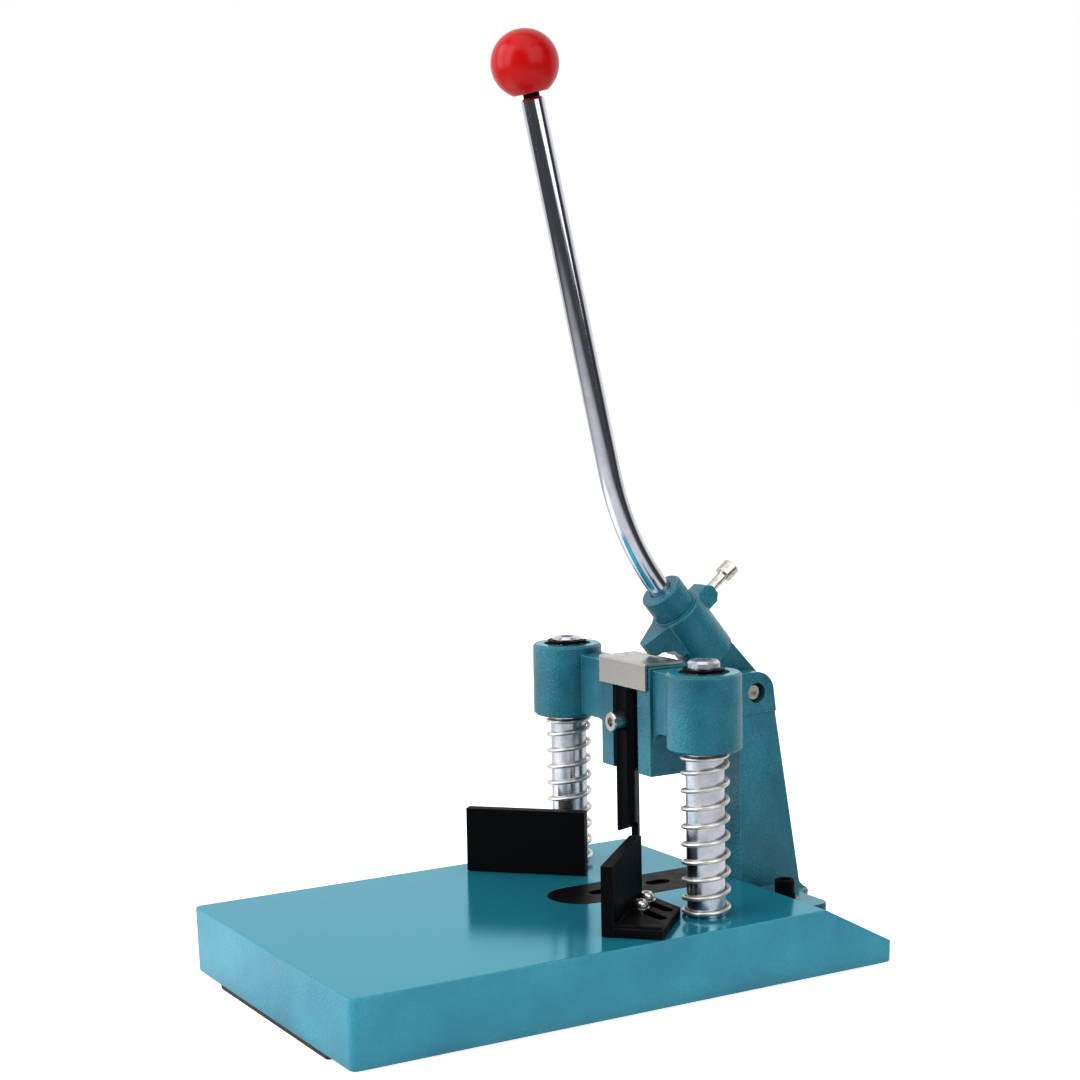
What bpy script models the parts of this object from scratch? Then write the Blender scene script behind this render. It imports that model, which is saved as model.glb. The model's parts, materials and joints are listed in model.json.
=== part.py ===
"""Corner rounder for paper stacks, with a sprung slider on two posts and a hand lever.

Metres, +Z up, +X to the right, and the paper comes in from -Y. The origin lies on the surface that the
machine stands on, below the middle of its table. The lever is drawn upright about its pivot and leaned
forward by its empty. Each fence is drawn in steps along its wall and square to it.
"""

import math

import bmesh
import bpy
import numpy as np
from mathutils import Vector

MM = 0.001

# Fits and cutters shared by all pieces
SEAT_GAP = 0.3 * MM
RUNNING_GAP = 0.3 * MM
OVERRUN = 6 * MM
JOIN = 1.5 * MM
ROUND_SEGMENTS = 36
SMALL_SEGMENTS = 18
CORNER_STEPS = 4
FACET_SHIFT_SHARE = 0.3

# Table casting and the rubber strips under it
STRIP_FOOT_THICKNESS = 2 * MM
STRIP_FOOT_WIDTH = 110 * MM
STRIP_FOOT_DEPTH = 20 * MM
STRIP_FOOT_INSET = 1.5 * MM
STRIP_FOOT_CORNER = 1.5 * MM
REAR_STRIP_INSET = 6 * MM
TABLE_WIDTH = 160 * MM
TABLE_LENGTH = 260 * MM
TABLE_THICKNESS = 28.5 * MM
TABLE_DRAFT = 0.7 * MM
TABLE_CORNER = 3 * MM
TABLE_EDGE = 0.8 * MM
RAMP_LENGTH = 37.3 * MM
RAMP_END_THICKNESS = 8.7 * MM
TABLE_WALL = 8 * MM
TABLE_SKIN = 10 * MM
RIB_WIDTH = 6 * MM
SPINE_WIDTH = 34 * MM
POCKET_CORNER = 3 * MM
POCKET_ROWS = 5
SIDE_COLUMNS = 2

# Die strip let into the table, with its two countersunk screws
DIE_WIDTH = 30 * MM
DIE_REAR_MARGIN = 4.7 * MM
DIE_LENGTH = 83 * MM
DIE_THICKNESS = 8 * MM
DIE_REAR_CORNER = 2 * MM
DIE_FRONT_STEPS = 14
DIE_SLOT_WIDTH = 7 * MM
DIE_SLOT_LENGTH = 12 * MM
DIE_SLOT_DEPTH = 4.4 * MM
DIE_SCREW_FRONT_INSET = 25 * MM
DIE_SCREW_REAR_INSET = 28 * MM
DIE_SCREW_HEAD = 6 * MM
DIE_SCREW_HEAD_HEIGHT = 2.8 * MM
DIE_SCREW_SHANK = 4 * MM
DIE_SCREW_LENGTH = 11 * MM
DIE_SCREW_SOCKET = 3 * MM
DIE_SCREW_SOCKET_DEPTH = 1.6 * MM
CHUTE_DIAMETER = 17 * MM

# Guide posts, retaining rings and return springs
POST_DIAMETER = 16.5 * MM
POST_EDGE_MARGIN = 24.4 * MM
POST_SETBACK = 44.7 * MM
POST_FOOT_CLEARANCE = 1 * MM
POST_BOSS = 30 * MM
POST_CHAMFER = 1 * MM
POST_END_DIAMETER = 13.8 * MM
RIGHT_POST_RISE = 5 * MM
LEFT_POST_RISE = 3 * MM
POST_RECESS = 6 * MM
POST_RECESS_DEPTH = 3 * MM
RING_OUTER = 18 * MM
RING_THICKNESS = 1.3 * MM
RING_GROOVE_DEPTH = 0.7 * MM
RING_GAP_ANGLE = 50
SPRING_OUTER = 21 * MM
SPRING_WIRE = 1.8 * MM
SPRING_TURNS = 10
SPRING_POINTS_PER_TURN = 10
SPRING_CLOSED_PITCH_SHARE = 0.31
SPRING_TOP_CLOSED_TURNS = 0.8
SPRING_BOTTOM_CLOSED_TURNS = 0.2
SPRING_EASE_TURNS = 0.6
SPRING_START_ANGLE = 200

# Sliding head: two sleeves, two webs and the block that holds the blade
SLEEVE_DIAMETER = 32 * MM
SLEEVE_BOTTOM = 101 * MM
SLEEVE_HEIGHT = 33 * MM
SLEEVE_EDGE = 1 * MM
WEB_DROP = 4 * MM
WEB_BOTTOM_RISE = 2 * MM
WEB_SETBACK = 46.7 * MM
WEB_THICKNESS = 14 * MM
WEB_FILLET = 5 * MM
WEB_INSIDE = 5 * MM
BLOCK_WIDTH = 40 * MM
BLOCK_SETBACK = 48.7 * MM
BLOCK_DEPTH = 20 * MM
BLOCK_BOTTOM = 83.3 * MM
BLOCK_EDGE = 0.8 * MM
RECESS_WIDTH = 20.4 * MM
RECESS_DEPTH = 3 * MM
BUSH_WALL = 2 * MM
BUSH_INSET = 1.5 * MM

# Blade: a square bar set corner forward, with a rounding groove down its front corner
BLADE_SIDE = 9.5 * MM
BLADE_GROOVE_RADIUS = 6 * MM
BLADE_SETBACK = 48.5 * MM
BLADE_EDGE_LOW = 56 * MM
BLADE_EDGE_HIGH = 60.2 * MM
BLADE_HEEL_SETBACK = 4 * MM
BLADE_HEEL_BOTTOM = 46 * MM
DIE_CLEARANCE = 0.3 * MM
CLAMP_SCREW_HEIGHT = 105.8 * MM
CLAMP_SCREW_HEAD = 9 * MM
CLAMP_SCREW_HEAD_LENGTH = 6.6 * MM
CLAMP_SCREW_SHANK = 5 * MM
CLAMP_SCREW_LENGTH = 17 * MM
CLAMP_SCREW_SEAT_DEPTH = 1.2 * MM
CLAMP_SCREW_SOCKET = 4 * MM
CLAMP_SCREW_SOCKET_DEPTH = 3 * MM

# Bright plate on the block that the lever's nose presses
PLATE_WIDTH = 37.6 * MM
PLATE_THICKNESS = 1.2 * MM
PLATE_DEPTH = 19.5 * MM
PLATE_TAB_HEIGHT = 11.8 * MM
PLATE_BEND = 0.9 * MM
PLATE_SCREW_SPACING = 25 * MM
PLATE_SCREW_INSET = 12 * MM
PLATE_SCREW_HEAD = 4.6 * MM
PLATE_SCREW_SHANK = 2.6 * MM
PLATE_SCREW_CONE = 0.9 * MM
PLATE_SCREW_LENGTH = 8 * MM

# Column and its foot
COLUMN_WIDTH = 37.2 * MM
COLUMN_FRONT_GAP = 0.3 * MM
COLUMN_TOP_DEPTH = 18.9 * MM
COLUMN_FOOT_DEPTH = 33.8 * MM
FOOT_REAR_INSET = 1.5 * MM
FOOT_WIDTH = 48 * MM
FOOT_DROP = 7.8 * MM
LUG_SPAN = 96 * MM
LUG_DEPTH = 27.3 * MM
LUG_CORNER = 5 * MM
LUG_SIDE_GAP = 1 * MM
FOOT_CORNER = 5 * MM
FLARE_HEIGHT = 3.4 * MM
FLARE_WIDTH = 4 * MM
EAR_STEP = 0.8 * MM
BODY_STEP = 0.2 * MM
EAR_STEP_DROP = 9 * MM
EAR_RADIUS = 9.5 * MM
COLUMN_SCREW_SPACING = 67.6 * MM
COLUMN_SCREW_INSET = 12.6 * MM
COLUMN_SCREW_HEAD = 9 * MM
COLUMN_SCREW_HEAD_HEIGHT = 6 * MM
COLUMN_SCREW_SHANK = 6 * MM
COLUMN_SCREW_SOCKET = 5 * MM
COLUMN_SCREW_SOCKET_DEPTH = 3 * MM
COLUMN_SCREW_REACH = 21 * MM
SPRING_WASHER_OUTER = 9.6 * MM
SPRING_WASHER_THICKNESS = 1.6 * MM
FLAT_WASHER_OUTER = 12 * MM
FLAT_WASHER_THICKNESS = 1.2 * MM

# Lever head, upright about its pivot: up is along the rod, and the rear is the upper side at rest
PIVOT_DEPTH = 9.7 * MM
PIVOT_Z = 114.7 * MM
LEVER_LEAN = 39
PIN_DIAMETER = 8 * MM
EYE_RADIUS = 10.5 * MM
TONGUE_WIDTH = 17.6 * MM
TONGUE_SIDE_GAP = 0.5 * MM
SLOT_FLOOR_GAP = 1.4 * MM
TONGUE_REAR = 9 * MM
TONGUE_REAR_START = 2 * MM
BODY_DIAMETER = 25 * MM
BODY_START = 21 * MM
BODY_TOP = 49.5 * MM
SOCKET_DIAMETER = 20 * MM
SOCKET_TOP = 61.7 * MM
SOCKET_EDGE = 0.8 * MM
BODY_EDGE = 0.6 * MM
ROD_DEPTH = 27 * MM
NOSE_TIP_RADIUS = 3 * MM
NOSE_REACH = 22.9 * MM
NOSE_HEIGHT = 44.2 * MM
NOSE_ROOT_HALF_WIDTH = 7.5 * MM
NOSE_TIP_HALF_WIDTH = 2.4 * MM
NOSE_SHOULDER = 9 * MM
NOSE_TIP_CORNER = 1.6 * MM
NOSE_ARCH_REACH = 14.3 * MM
NOSE_ARCH_HEIGHT = 38 * MM
NOSE_ROOT_REACH = 13.3 * MM
NOSE_ROOT_HEIGHT = 33.5 * MM
NOSE_INNER_REACH = 2 * MM
NOSE_GAP = 0.5 * MM
NOSE_ARC_START = 190
NOSE_ARC_END = 285
LUG_WIDTH = 10 * MM
LUG_REACH = 19.8 * MM
LUG_HEIGHT = 10 * MM
LUG_TOP_CHAMFER = 2.8 * MM
LUG_LOW_CHAMFER = 2.7 * MM
LOCK_SCREW_DROP = 6 * MM
LOCK_SCREW_SHANK = 4.8 * MM
LOCK_SCREW_HEAD = 8 * MM
LOCK_SCREW_HEAD_START = 29.1 * MM
LOCK_SCREW_HEAD_LENGTH = 6.2 * MM
LOCK_SCREW_SOCKET = 4 * MM
LOCK_SCREW_SOCKET_DEPTH = 3 * MM
PIVOT_SCREW_HEAD = 7.2 * MM
PIVOT_SCREW_HEAD_LENGTH = 2.8 * MM
PIVOT_SCREW_SHANK = 4 * MM
PIVOT_SCREW_LENGTH = 8 * MM
PIVOT_SCREW_SOCKET = 3 * MM
PIVOT_SCREW_SOCKET_DEPTH = 1.8 * MM
PIVOT_COUNTERBORE = 9.4 * MM
PIVOT_COUNTERBORE_DEPTH = 5.6 * MM

# Rod and ball
ROD_DIAMETER = 10 * MM
ROD_KNEE = 92 * MM
ROD_BEND_RADIUS = 127 * MM
ROD_UPPER_LEAN = 12.6
ROD_UPPER_LENGTH = 193.2 * MM
ROD_BEND_STEPS = 12
ROD_CHAMFER = 1 * MM
STUD_DIAMETER = 7 * MM
STUD_LOWER_DIAMETER = 5 * MM
STUD_UPPER_LENGTH = 12 * MM
STUD_LOWER_LENGTH = 8 * MM
STUD_NECK = 2.2 * MM
BALL_DIAMETER = 29 * MM
BALL_FLAT_DROP = 13.3 * MM
BALL_STEPS = 10

# Fences: an upright wall on a slotted foot, at 45 degrees to the table
FENCE_LENGTH = 56 * MM
FENCE_WALL = 5.2 * MM
FENCE_HEIGHT = 29.2 * MM
RIGHT_FENCE_FOOT_DEPTH = 25.5 * MM
LEFT_FENCE_FOOT_DEPTH = 27.5 * MM
FENCE_FOOT_THICKNESS = 3.5 * MM
FENCE_RIM_WIDTH = 3 * MM
FENCE_RIM_HEIGHT = 1.5 * MM
FENCE_RIM_INSET = 0.3 * MM
FENCE_SPRING_GAP = 1 * MM
FENCE_TABLE_INSET = 0.2 * MM
FENCE_SLOT_WIDTH = 5 * MM
RIGHT_FENCE_TRAVEL = 16 * MM
LEFT_FENCE_TRAVEL = 19 * MM
FENCE_SCREW_SETBACK = 4.4 * MM
FENCE_SCREW_HEAD = 7 * MM
FENCE_SCREW_HEAD_HEIGHT = 2.8 * MM
FENCE_SCREW_SHOULDER = 1.4 * MM
FENCE_SCREW_CROWN_DROP = 0.6 * MM
FENCE_SCREW_CROWN_INSET = 0.35 * MM
FENCE_SCREW_TOP_INSET = 1.05 * MM
FENCE_SCREW_SHANK = 4 * MM
FENCE_SCREW_GRIP = 8 * MM
FENCE_SCREW_SOCKET = 2.5 * MM
FENCE_SCREW_SOCKET_DEPTH = 1.6 * MM
FENCE_WASHER = 8 * MM
FENCE_WASHER_THICKNESS = 0.8 * MM
RIGHT_FENCE_EDGE_MARGIN = 18.3 * MM
RIGHT_FENCE_SETBACK = 101 * MM
LEFT_FENCE_EDGE_MARGIN = 13.6 * MM
LEFT_FENCE_SETBACK = 94.1 * MM
RIGHT_FENCE_FRONT_SCREW = 31 * MM
RIGHT_FENCE_REAR_SCREW = 44 * MM
LEFT_FENCE_FRONT_SCREW = 24 * MM
LEFT_FENCE_REAR_SCREW = 37 * MM

# Heights and places that follow from the sizes above
TABLE_BOTTOM = STRIP_FOOT_THICKNESS
TABLE_TOP = TABLE_BOTTOM + TABLE_THICKNESS
TABLE_REAR = TABLE_LENGTH / 2
RAMP_START = TABLE_REAR - RAMP_LENGTH
SEAT_LEVEL = TABLE_BOTTOM + RAMP_END_THICKNESS
DIE_REAR = RAMP_START - DIE_REAR_MARGIN
DIE_FRONT = DIE_REAR - DIE_LENGTH
DIE_BOTTOM = TABLE_TOP - DIE_THICKNESS
COLUMN_FRONT = RAMP_START + COLUMN_FRONT_GAP
POST_SPACING = TABLE_WIDTH - 2 * POST_EDGE_MARGIN
POST_Y = RAMP_START - POST_SETBACK
WEB_FRONT = RAMP_START - WEB_SETBACK
BLOCK_FRONT = RAMP_START - BLOCK_SETBACK
BLADE_Y = RAMP_START - BLADE_SETBACK
PIVOT_Y = RAMP_START + PIVOT_DEPTH
SLEEVE_TOP = SLEEVE_BOTTOM + SLEEVE_HEIGHT
RING_BOTTOM = SLEEVE_TOP + SEAT_GAP
LEAN = math.radians(LEVER_LEAN)
NOSE_CENTRE_REACH = NOSE_REACH - NOSE_TIP_RADIUS
NOSE_CENTRE_Z = PIVOT_Z + NOSE_HEIGHT * math.cos(LEAN) - NOSE_CENTRE_REACH * math.sin(LEAN)
PLATE_TOP = NOSE_CENTRE_Z - NOSE_TIP_RADIUS - NOSE_GAP
BLOCK_TOP = PLATE_TOP - PLATE_THICKNESS - SEAT_GAP
BLADE_HALF = BLADE_SIDE / math.sqrt(2)
BLADE_CORNER_Y = BLADE_Y - BLADE_HALF
BLADE_TIP_Y = BLADE_CORNER_Y + BLADE_GROOVE_RADIUS / math.sqrt(2)
FENCE_FOOT_BOTTOM = TABLE_TOP + SEAT_GAP
FENCE_EDGE_Y = POST_Y - SPRING_OUTER / 2 - FENCE_SPRING_GAP
FOOT_TOP = TABLE_TOP - FOOT_DROP
LUG_REAR = COLUMN_FRONT + LUG_DEPTH
COLUMN_TOP_REAR = RAMP_START + COLUMN_TOP_DEPTH
COLUMN_FOOT_REAR = RAMP_START + COLUMN_FOOT_DEPTH
SEAT_WIDTH = LUG_SPAN + 2 * LUG_SIDE_GAP
RIGHT_FENCE_X = TABLE_WIDTH / 2 - RIGHT_FENCE_EDGE_MARGIN
RIGHT_FENCE_Y = RAMP_START - RIGHT_FENCE_SETBACK
LEFT_FENCE_X = LEFT_FENCE_EDGE_MARGIN - TABLE_WIDTH / 2
LEFT_FENCE_Y = RAMP_START - LEFT_FENCE_SETBACK


# Materials


def material(name, colour, roughness, metallic):
    """A painted, metal, rubber or plastic finish from an sRGB colour of three shares."""
    found = bpy.data.materials.get(name)
    if found:
        return found
    made = bpy.data.materials.new(name)
    made.use_nodes = True
    shader = made.node_tree.nodes["Principled BSDF"]
    linear = [((c + 0.055) / 1.055) ** 2.4 if c > 0.04 else c / 12.92 for c in colour]
    shader.inputs["Base Color"].default_value = (*linear, 1)
    shader.inputs["Roughness"].default_value = roughness
    shader.inputs["Metallic"].default_value = metallic
    made.diffuse_color = (*linear, 1)
    return made


def enamel():
    return material("teal_enamel", (0.23, 0.54, 0.60), 0.4, 0.0)


def chrome():
    return material("chrome_steel", (0.80, 0.82, 0.85), 0.12, 1.0)


def bright_steel():
    return material("bright_steel", (0.78, 0.77, 0.74), 0.3, 1.0)


def black_steel():
    return material("black_steel", (0.09, 0.09, 0.10), 0.45, 0.6)


def bronze():
    return material("bronze", (0.62, 0.45, 0.24), 0.35, 1.0)


def rubber():
    return material("black_rubber", (0.05, 0.05, 0.06), 0.8, 0.0)


def red_plastic():
    return material("red_plastic", (0.89, 0.09, 0.10), 0.25, 0.0)


# Shapes


def finish(name, mesh_data, material_made, parent=None):
    """Puts a bmesh into the scene as a named object with smooth round faces."""
    mesh = bpy.data.meshes.new(name)
    bmesh.ops.recalc_face_normals(mesh_data, faces=mesh_data.faces)
    mesh_data.to_mesh(mesh)
    mesh_data.free()
    mesh.materials.append(material_made)
    mesh.shade_smooth()
    mesh.set_sharp_from_angle(angle=math.radians(35))
    made = bpy.data.objects.new(name, mesh)
    bpy.context.scene.collection.objects.link(made)
    made.parent = parent
    return made


def frame(name, place):
    """An empty that carries the pieces of one body."""
    made = bpy.data.objects.new(name, None)
    made.location = place
    bpy.context.scene.collection.objects.link(made)
    return made


def arc(centre, radius, start, end, steps):
    """Points of an arc in a plane, from start to end in degrees."""
    angles = np.radians(np.linspace(start, end, steps + 1))
    return [(centre[0] + radius * math.cos(a), centre[1] + radius * math.sin(a)) for a in angles]


def rounded(corners, radii, steps=CORNER_STEPS):
    """A closed outline whose corners are arcs of the given radii."""
    points = []
    for index, corner in enumerate(corners):
        radius = radii[index]
        here = Vector(corner)
        if radius == 0:
            points.append(tuple(here))
            continue
        before = (Vector(corners[index - 1]) - here).normalized()
        after = (Vector(corners[(index + 1) % len(corners)]) - here).normalized()
        half = before.angle(after) / 2
        centre = here + (before + after).normalized() * (radius / math.sin(half))
        start = here + before * (radius / math.tan(half)) - centre
        end = here + after * (radius / math.tan(half)) - centre
        turn = start.angle_signed(end)
        for step in range(steps + 1):
            angle = -turn * step / steps
            points.append((centre.x + start.x * math.cos(angle) - start.y * math.sin(angle),
                           centre.y + start.x * math.sin(angle) + start.y * math.cos(angle)))
    return points


def rectangle(width, depth, radius, centre=(0, 0)):
    """A rounded rectangle about a centre."""
    x, y = width / 2, depth / 2
    corners = [(centre[0] + i * x, centre[1] + j * y) for i, j in ((-1, -1), (1, -1), (1, 1), (-1, 1))]
    return rounded(corners, [radius] * len(corners))


def clipped(points, normal, limit):
    """The part of a convex outline where the step along normal stays under limit."""
    kept = []
    for index, here in enumerate(points):
        before = points[index - 1]
        low = np.dot(before, normal) - limit
        high = np.dot(here, normal) - limit
        if low * high < 0:
            share = low / (low - high)
            kept.append(tuple(np.array(before) + (np.array(here) - np.array(before)) * share))
        if high <= 0:
            kept.append(tuple(here))
    return kept


def extruded(outline, low, high, top_outline=None):
    """A bmesh between two heights, over one outline or from one outline to another."""
    made = bmesh.new()
    rings = [[made.verts.new((x, y, z)) for x, y in points]
             for points, z in ((outline, low), (top_outline or outline, high))]
    made.faces.new(rings[0][::-1])
    made.faces.new(rings[1])
    for index in range(len(outline)):
        after = (index + 1) % len(outline)
        made.faces.new((rings[0][index], rings[0][after], rings[1][after], rings[1][index]))
    return made


def prism(name, outline, low, high, colour, parent=None, top_outline=None):
    """An upright prism."""
    return finish(name, extruded(outline, low, high, top_outline), colour, parent)


def side_prism(name, outline, width, colour, parent=None):
    """A prism across X whose outline is given in Y and Z."""
    made = extruded(outline, -width / 2, width / 2)
    for vertex in made.verts:
        vertex.co = (vertex.co.z, vertex.co.x, vertex.co.y)
    return finish(name, made, colour, parent)


def revolved(profile, segments):
    """A bmesh of revolution about Z from pairs of radius and height, with flat or pointed ends."""
    made = bmesh.new()
    flat_low = profile[0][0] == 0 and profile[0][1] == profile[1][1]
    flat_high = profile[-1][0] == 0 and profile[-1][1] == profile[-2][1]
    rings = []
    for radius, height in profile[int(flat_low):len(profile) - int(flat_high)]:
        if radius == 0:
            rings.append([made.verts.new((0, 0, height))])
            continue
        turn = [2 * math.pi * (step + FACET_SHIFT_SHARE) / segments for step in range(segments)]
        rings.append([made.verts.new((radius * math.cos(a), radius * math.sin(a), height)) for a in turn])
    hollow = profile[0][0] > 0
    pairs = list(zip(rings, rings[1:] + rings[:1])) if hollow else list(zip(rings, rings[1:]))
    for low, high in pairs:
        for step in range(segments):
            after = (step + 1) % segments
            ends = {}
            for vertex in (low[step % len(low)], low[after % len(low)],
                           high[after % len(high)], high[step % len(high)]):
                ends[vertex] = None
            if len(ends) > 2:
                made.faces.new(list(ends))
    if flat_low:
        made.faces.new(rings[0][::-1])
    if flat_high:
        made.faces.new(rings[-1])
    return made


AXIS_ORDERS = {
    "Z": lambda p: (p.x, p.y, p.z),
    "X": lambda p: (p.z, p.x, p.y),
    "-X": lambda p: (-p.z, -p.x, p.y),
    "Y": lambda p: (p.y, p.z, p.x),
    "-Y": lambda p: (-p.y, -p.z, p.x),
}


def laid(mesh_data, axis):
    """Turns a bmesh drawn along Z so that it runs along the named axis."""
    for vertex in mesh_data.verts:
        vertex.co = AXIS_ORDERS[axis](vertex.co)
    return mesh_data


def turned(name, profile, place, axis, colour, parent=None, segments=ROUND_SEGMENTS):
    """A turned piece whose profile runs along the named axis from its place."""
    made = finish(name, laid(revolved(profile, segments), axis), colour, parent)
    made.location = place
    return made


def cylinder_profile(diameter, low, high, chamfer=0.0):
    """A plain or chamfered bar."""
    radius = diameter / 2
    if chamfer == 0:
        return [(0, low), (radius, low), (radius, high), (0, high)]
    return [(0, low), (radius - chamfer, low), (radius, low + chamfer), (radius, high - chamfer),
            (radius - chamfer, high), (0, high)]


def tube_profile(inner, outer, low, high):
    """A tube or washer."""
    return [(inner / 2, low), (outer / 2, low), (outer / 2, high), (inner / 2, high)]


def add_bevel(target, width, segments=2):
    """Rounds the sharp edges of a primitive."""
    made = target.modifiers.new("edges", "BEVEL")
    made.width = width
    made.segments = segments
    made.limit_method = "ANGLE"
    made.angle_limit = math.radians(40)
    return target


def boolean(target, tool, operation):
    """Cuts or joins with a hidden tool object."""
    made = target.modifiers.new(tool.name, "BOOLEAN")
    made.operation = operation
    made.solver = "EXACT"
    made.object = tool
    tool.hide_render = True
    tool.display_type = "WIRE"


def cut(target, tool):
    boolean(target, tool, "DIFFERENCE")


def join(target, tool):
    boolean(target, tool, "UNION")


def hex_socket(target, across, depth, place, axis, parent=None):
    """Cuts a hexagon socket into a screw head, from its end face inwards against the axis."""
    corner = across / math.sqrt(3)
    points = [(corner * math.cos(a), corner * math.sin(a)) for a in np.radians(np.arange(0, 360, 60))]
    shape = laid(extruded(points, -depth, OVERRUN), axis)
    tool = finish(target.name + "_socket_cutter", shape, target.data.materials[0], parent)
    tool.location = place
    cut(target, tool)


# Table


def pocket_spans():
    """The spans of the casting's pockets along Y, and those of its side columns along X."""
    front = -TABLE_LENGTH / 2 + TABLE_WALL
    length = (RAMP_START - TABLE_WALL - front - (POCKET_ROWS - 1) * RIB_WIDTH) / POCKET_ROWS
    rows = [(front + row * (length + RIB_WIDTH), front + row * (length + RIB_WIDTH) + length)
            for row in range(POCKET_ROWS)]
    start = SPINE_WIDTH / 2 + RIB_WIDTH
    width = (TABLE_WIDTH / 2 - TABLE_WALL - start - (SIDE_COLUMNS - 1) * RIB_WIDTH) / SIDE_COLUMNS
    columns = [(start + column * (width + RIB_WIDTH), start + column * (width + RIB_WIDTH) + width)
               for column in range(SIDE_COLUMNS)]
    return rows, columns


def cut_pocket(base, name, x_span, y_span):
    """One pocket of the ribbed underside."""
    centre = (sum(x_span) / 2, sum(y_span) / 2)
    outline = rectangle(x_span[1] - x_span[0], y_span[1] - y_span[0], POCKET_CORNER, centre)
    cut(base, prism(name, outline, TABLE_BOTTOM - OVERRUN, TABLE_TOP - TABLE_SKIN, enamel()))


def base_plate():
    """The table casting: flat top, rear ramp between cheeks, seat for the column and a ribbed underside."""
    low = rectangle(TABLE_WIDTH - 2 * TABLE_DRAFT, TABLE_LENGTH - 2 * TABLE_DRAFT, TABLE_CORNER)
    high = rectangle(TABLE_WIDTH, TABLE_LENGTH, TABLE_CORNER)
    base = prism("base_plate", low, TABLE_BOTTOM, TABLE_TOP, enamel(), top_outline=high)
    add_bevel(base, TABLE_EDGE)
    slope = (TABLE_TOP - SEAT_LEVEL) / RAMP_LENGTH
    ramp = [(RAMP_START - OVERRUN / slope, TABLE_TOP + OVERRUN),
            (TABLE_REAR + OVERRUN, SEAT_LEVEL - OVERRUN * slope),
            (TABLE_REAR + OVERRUN, TABLE_TOP + OVERRUN)]
    cut(base, side_prism("ramp_cutter", ramp, TABLE_WIDTH + 2 * OVERRUN, enamel()))
    seat_depth = RAMP_LENGTH + OVERRUN
    seat = rectangle(SEAT_WIDTH, seat_depth, 0, (0, RAMP_START + seat_depth / 2))
    cut(base, prism("seat_cutter", seat, SEAT_LEVEL, TABLE_TOP + OVERRUN, enamel()))
    rows, columns = pocket_spans()
    for row, y_span in enumerate(rows):
        if y_span[1] < DIE_FRONT - RIB_WIDTH:
            cut_pocket(base, f"spine_pocket_{row}", (-SPINE_WIDTH / 2, SPINE_WIDTH / 2), y_span)
        for column, (near, far) in enumerate(columns):
            cut_pocket(base, f"pocket_right_{row}_{column}", (near, far), y_span)
            cut_pocket(base, f"pocket_left_{row}_{column}", (-far, -near), y_span)
    for side, x in (("right", POST_SPACING / 2), ("left", -POST_SPACING / 2)):
        boss = cylinder_profile(POST_BOSS, TABLE_BOTTOM, TABLE_TOP - TABLE_SKIN / 2)
        join(base, turned(f"post_boss_{side}", boss, (x, POST_Y, 0), "Z", enamel()))
        hole = cylinder_profile(POST_DIAMETER + 2 * RUNNING_GAP, TABLE_BOTTOM - OVERRUN, TABLE_TOP + OVERRUN)
        cut(base, turned(f"post_hole_{side}", hole, (x, POST_Y, 0), "Z", enamel()))
        screw_hole = cylinder_profile(COLUMN_SCREW_SHANK + 2 * RUNNING_GAP, TABLE_BOTTOM - OVERRUN,
                                      SEAT_LEVEL + OVERRUN)
        place = (math.copysign(COLUMN_SCREW_SPACING / 2, x), COLUMN_FRONT + COLUMN_SCREW_INSET, 0)
        cut(base, turned(f"column_screw_hole_{side}", screw_hole, place, "Z", enamel(), None, SMALL_SEGMENTS))
    cut(base, prism("die_pocket", die_outline(SEAT_GAP), DIE_BOTTOM - SEAT_GAP, TABLE_TOP + OVERRUN, enamel()))
    chute = cylinder_profile(CHUTE_DIAMETER, TABLE_BOTTOM - OVERRUN, TABLE_TOP)
    cut(base, turned("waste_chute", chute, (0, BLADE_Y, 0), "Z", enamel()))
    for name, y in die_screw_places():
        hole = cylinder_profile(DIE_SCREW_SHANK + 2 * RUNNING_GAP,
                                die_slot_floor() - DIE_SCREW_LENGTH - SEAT_GAP, TABLE_TOP)
        cut(base, turned(f"table_hole_{name}", hole, (0, y, 0), "Z", enamel(), None, SMALL_SEGMENTS))
    for name, place in fence_screw_places():
        hole = cylinder_profile(FENCE_SCREW_SHANK + 2 * RUNNING_GAP,
                                TABLE_TOP - FENCE_SCREW_GRIP - SEAT_GAP, TABLE_TOP + OVERRUN)
        cut(base, turned(f"table_hole_{name}", hole, (*place, 0), "Z", enamel(), None, SMALL_SEGMENTS))


def rubber_strips():
    """Rubber strips under the front and the rear edge."""
    for name, y in (("front_foot_strip", -TABLE_REAR + STRIP_FOOT_INSET + STRIP_FOOT_DEPTH / 2),
                    ("rear_foot_strip", TABLE_REAR - REAR_STRIP_INSET - STRIP_FOOT_DEPTH / 2)):
        outline = rectangle(STRIP_FOOT_WIDTH, STRIP_FOOT_DEPTH, STRIP_FOOT_CORNER, (0, y))
        prism(name, outline, 0, STRIP_FOOT_THICKNESS, rubber())


# Die strip


def die_outline(gap):
    """The strip's plan, round at the front, grown by a gap all round."""
    radius = DIE_WIDTH / 2 + gap
    front = arc((0, DIE_FRONT + DIE_WIDTH / 2), radius, 180, 360, DIE_FRONT_STEPS)
    corner = DIE_REAR_CORNER + gap
    rear = DIE_REAR + gap
    right = arc((radius - corner, rear - corner), corner, 0, 90, CORNER_STEPS)
    left = arc((corner - radius, rear - corner), corner, 90, 180, CORNER_STEPS)
    return front + right + left


def die_screw_places():
    return (("die_screw_front", DIE_FRONT + DIE_SCREW_FRONT_INSET),
            ("die_screw_rear", DIE_REAR - DIE_SCREW_REAR_INSET))


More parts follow.
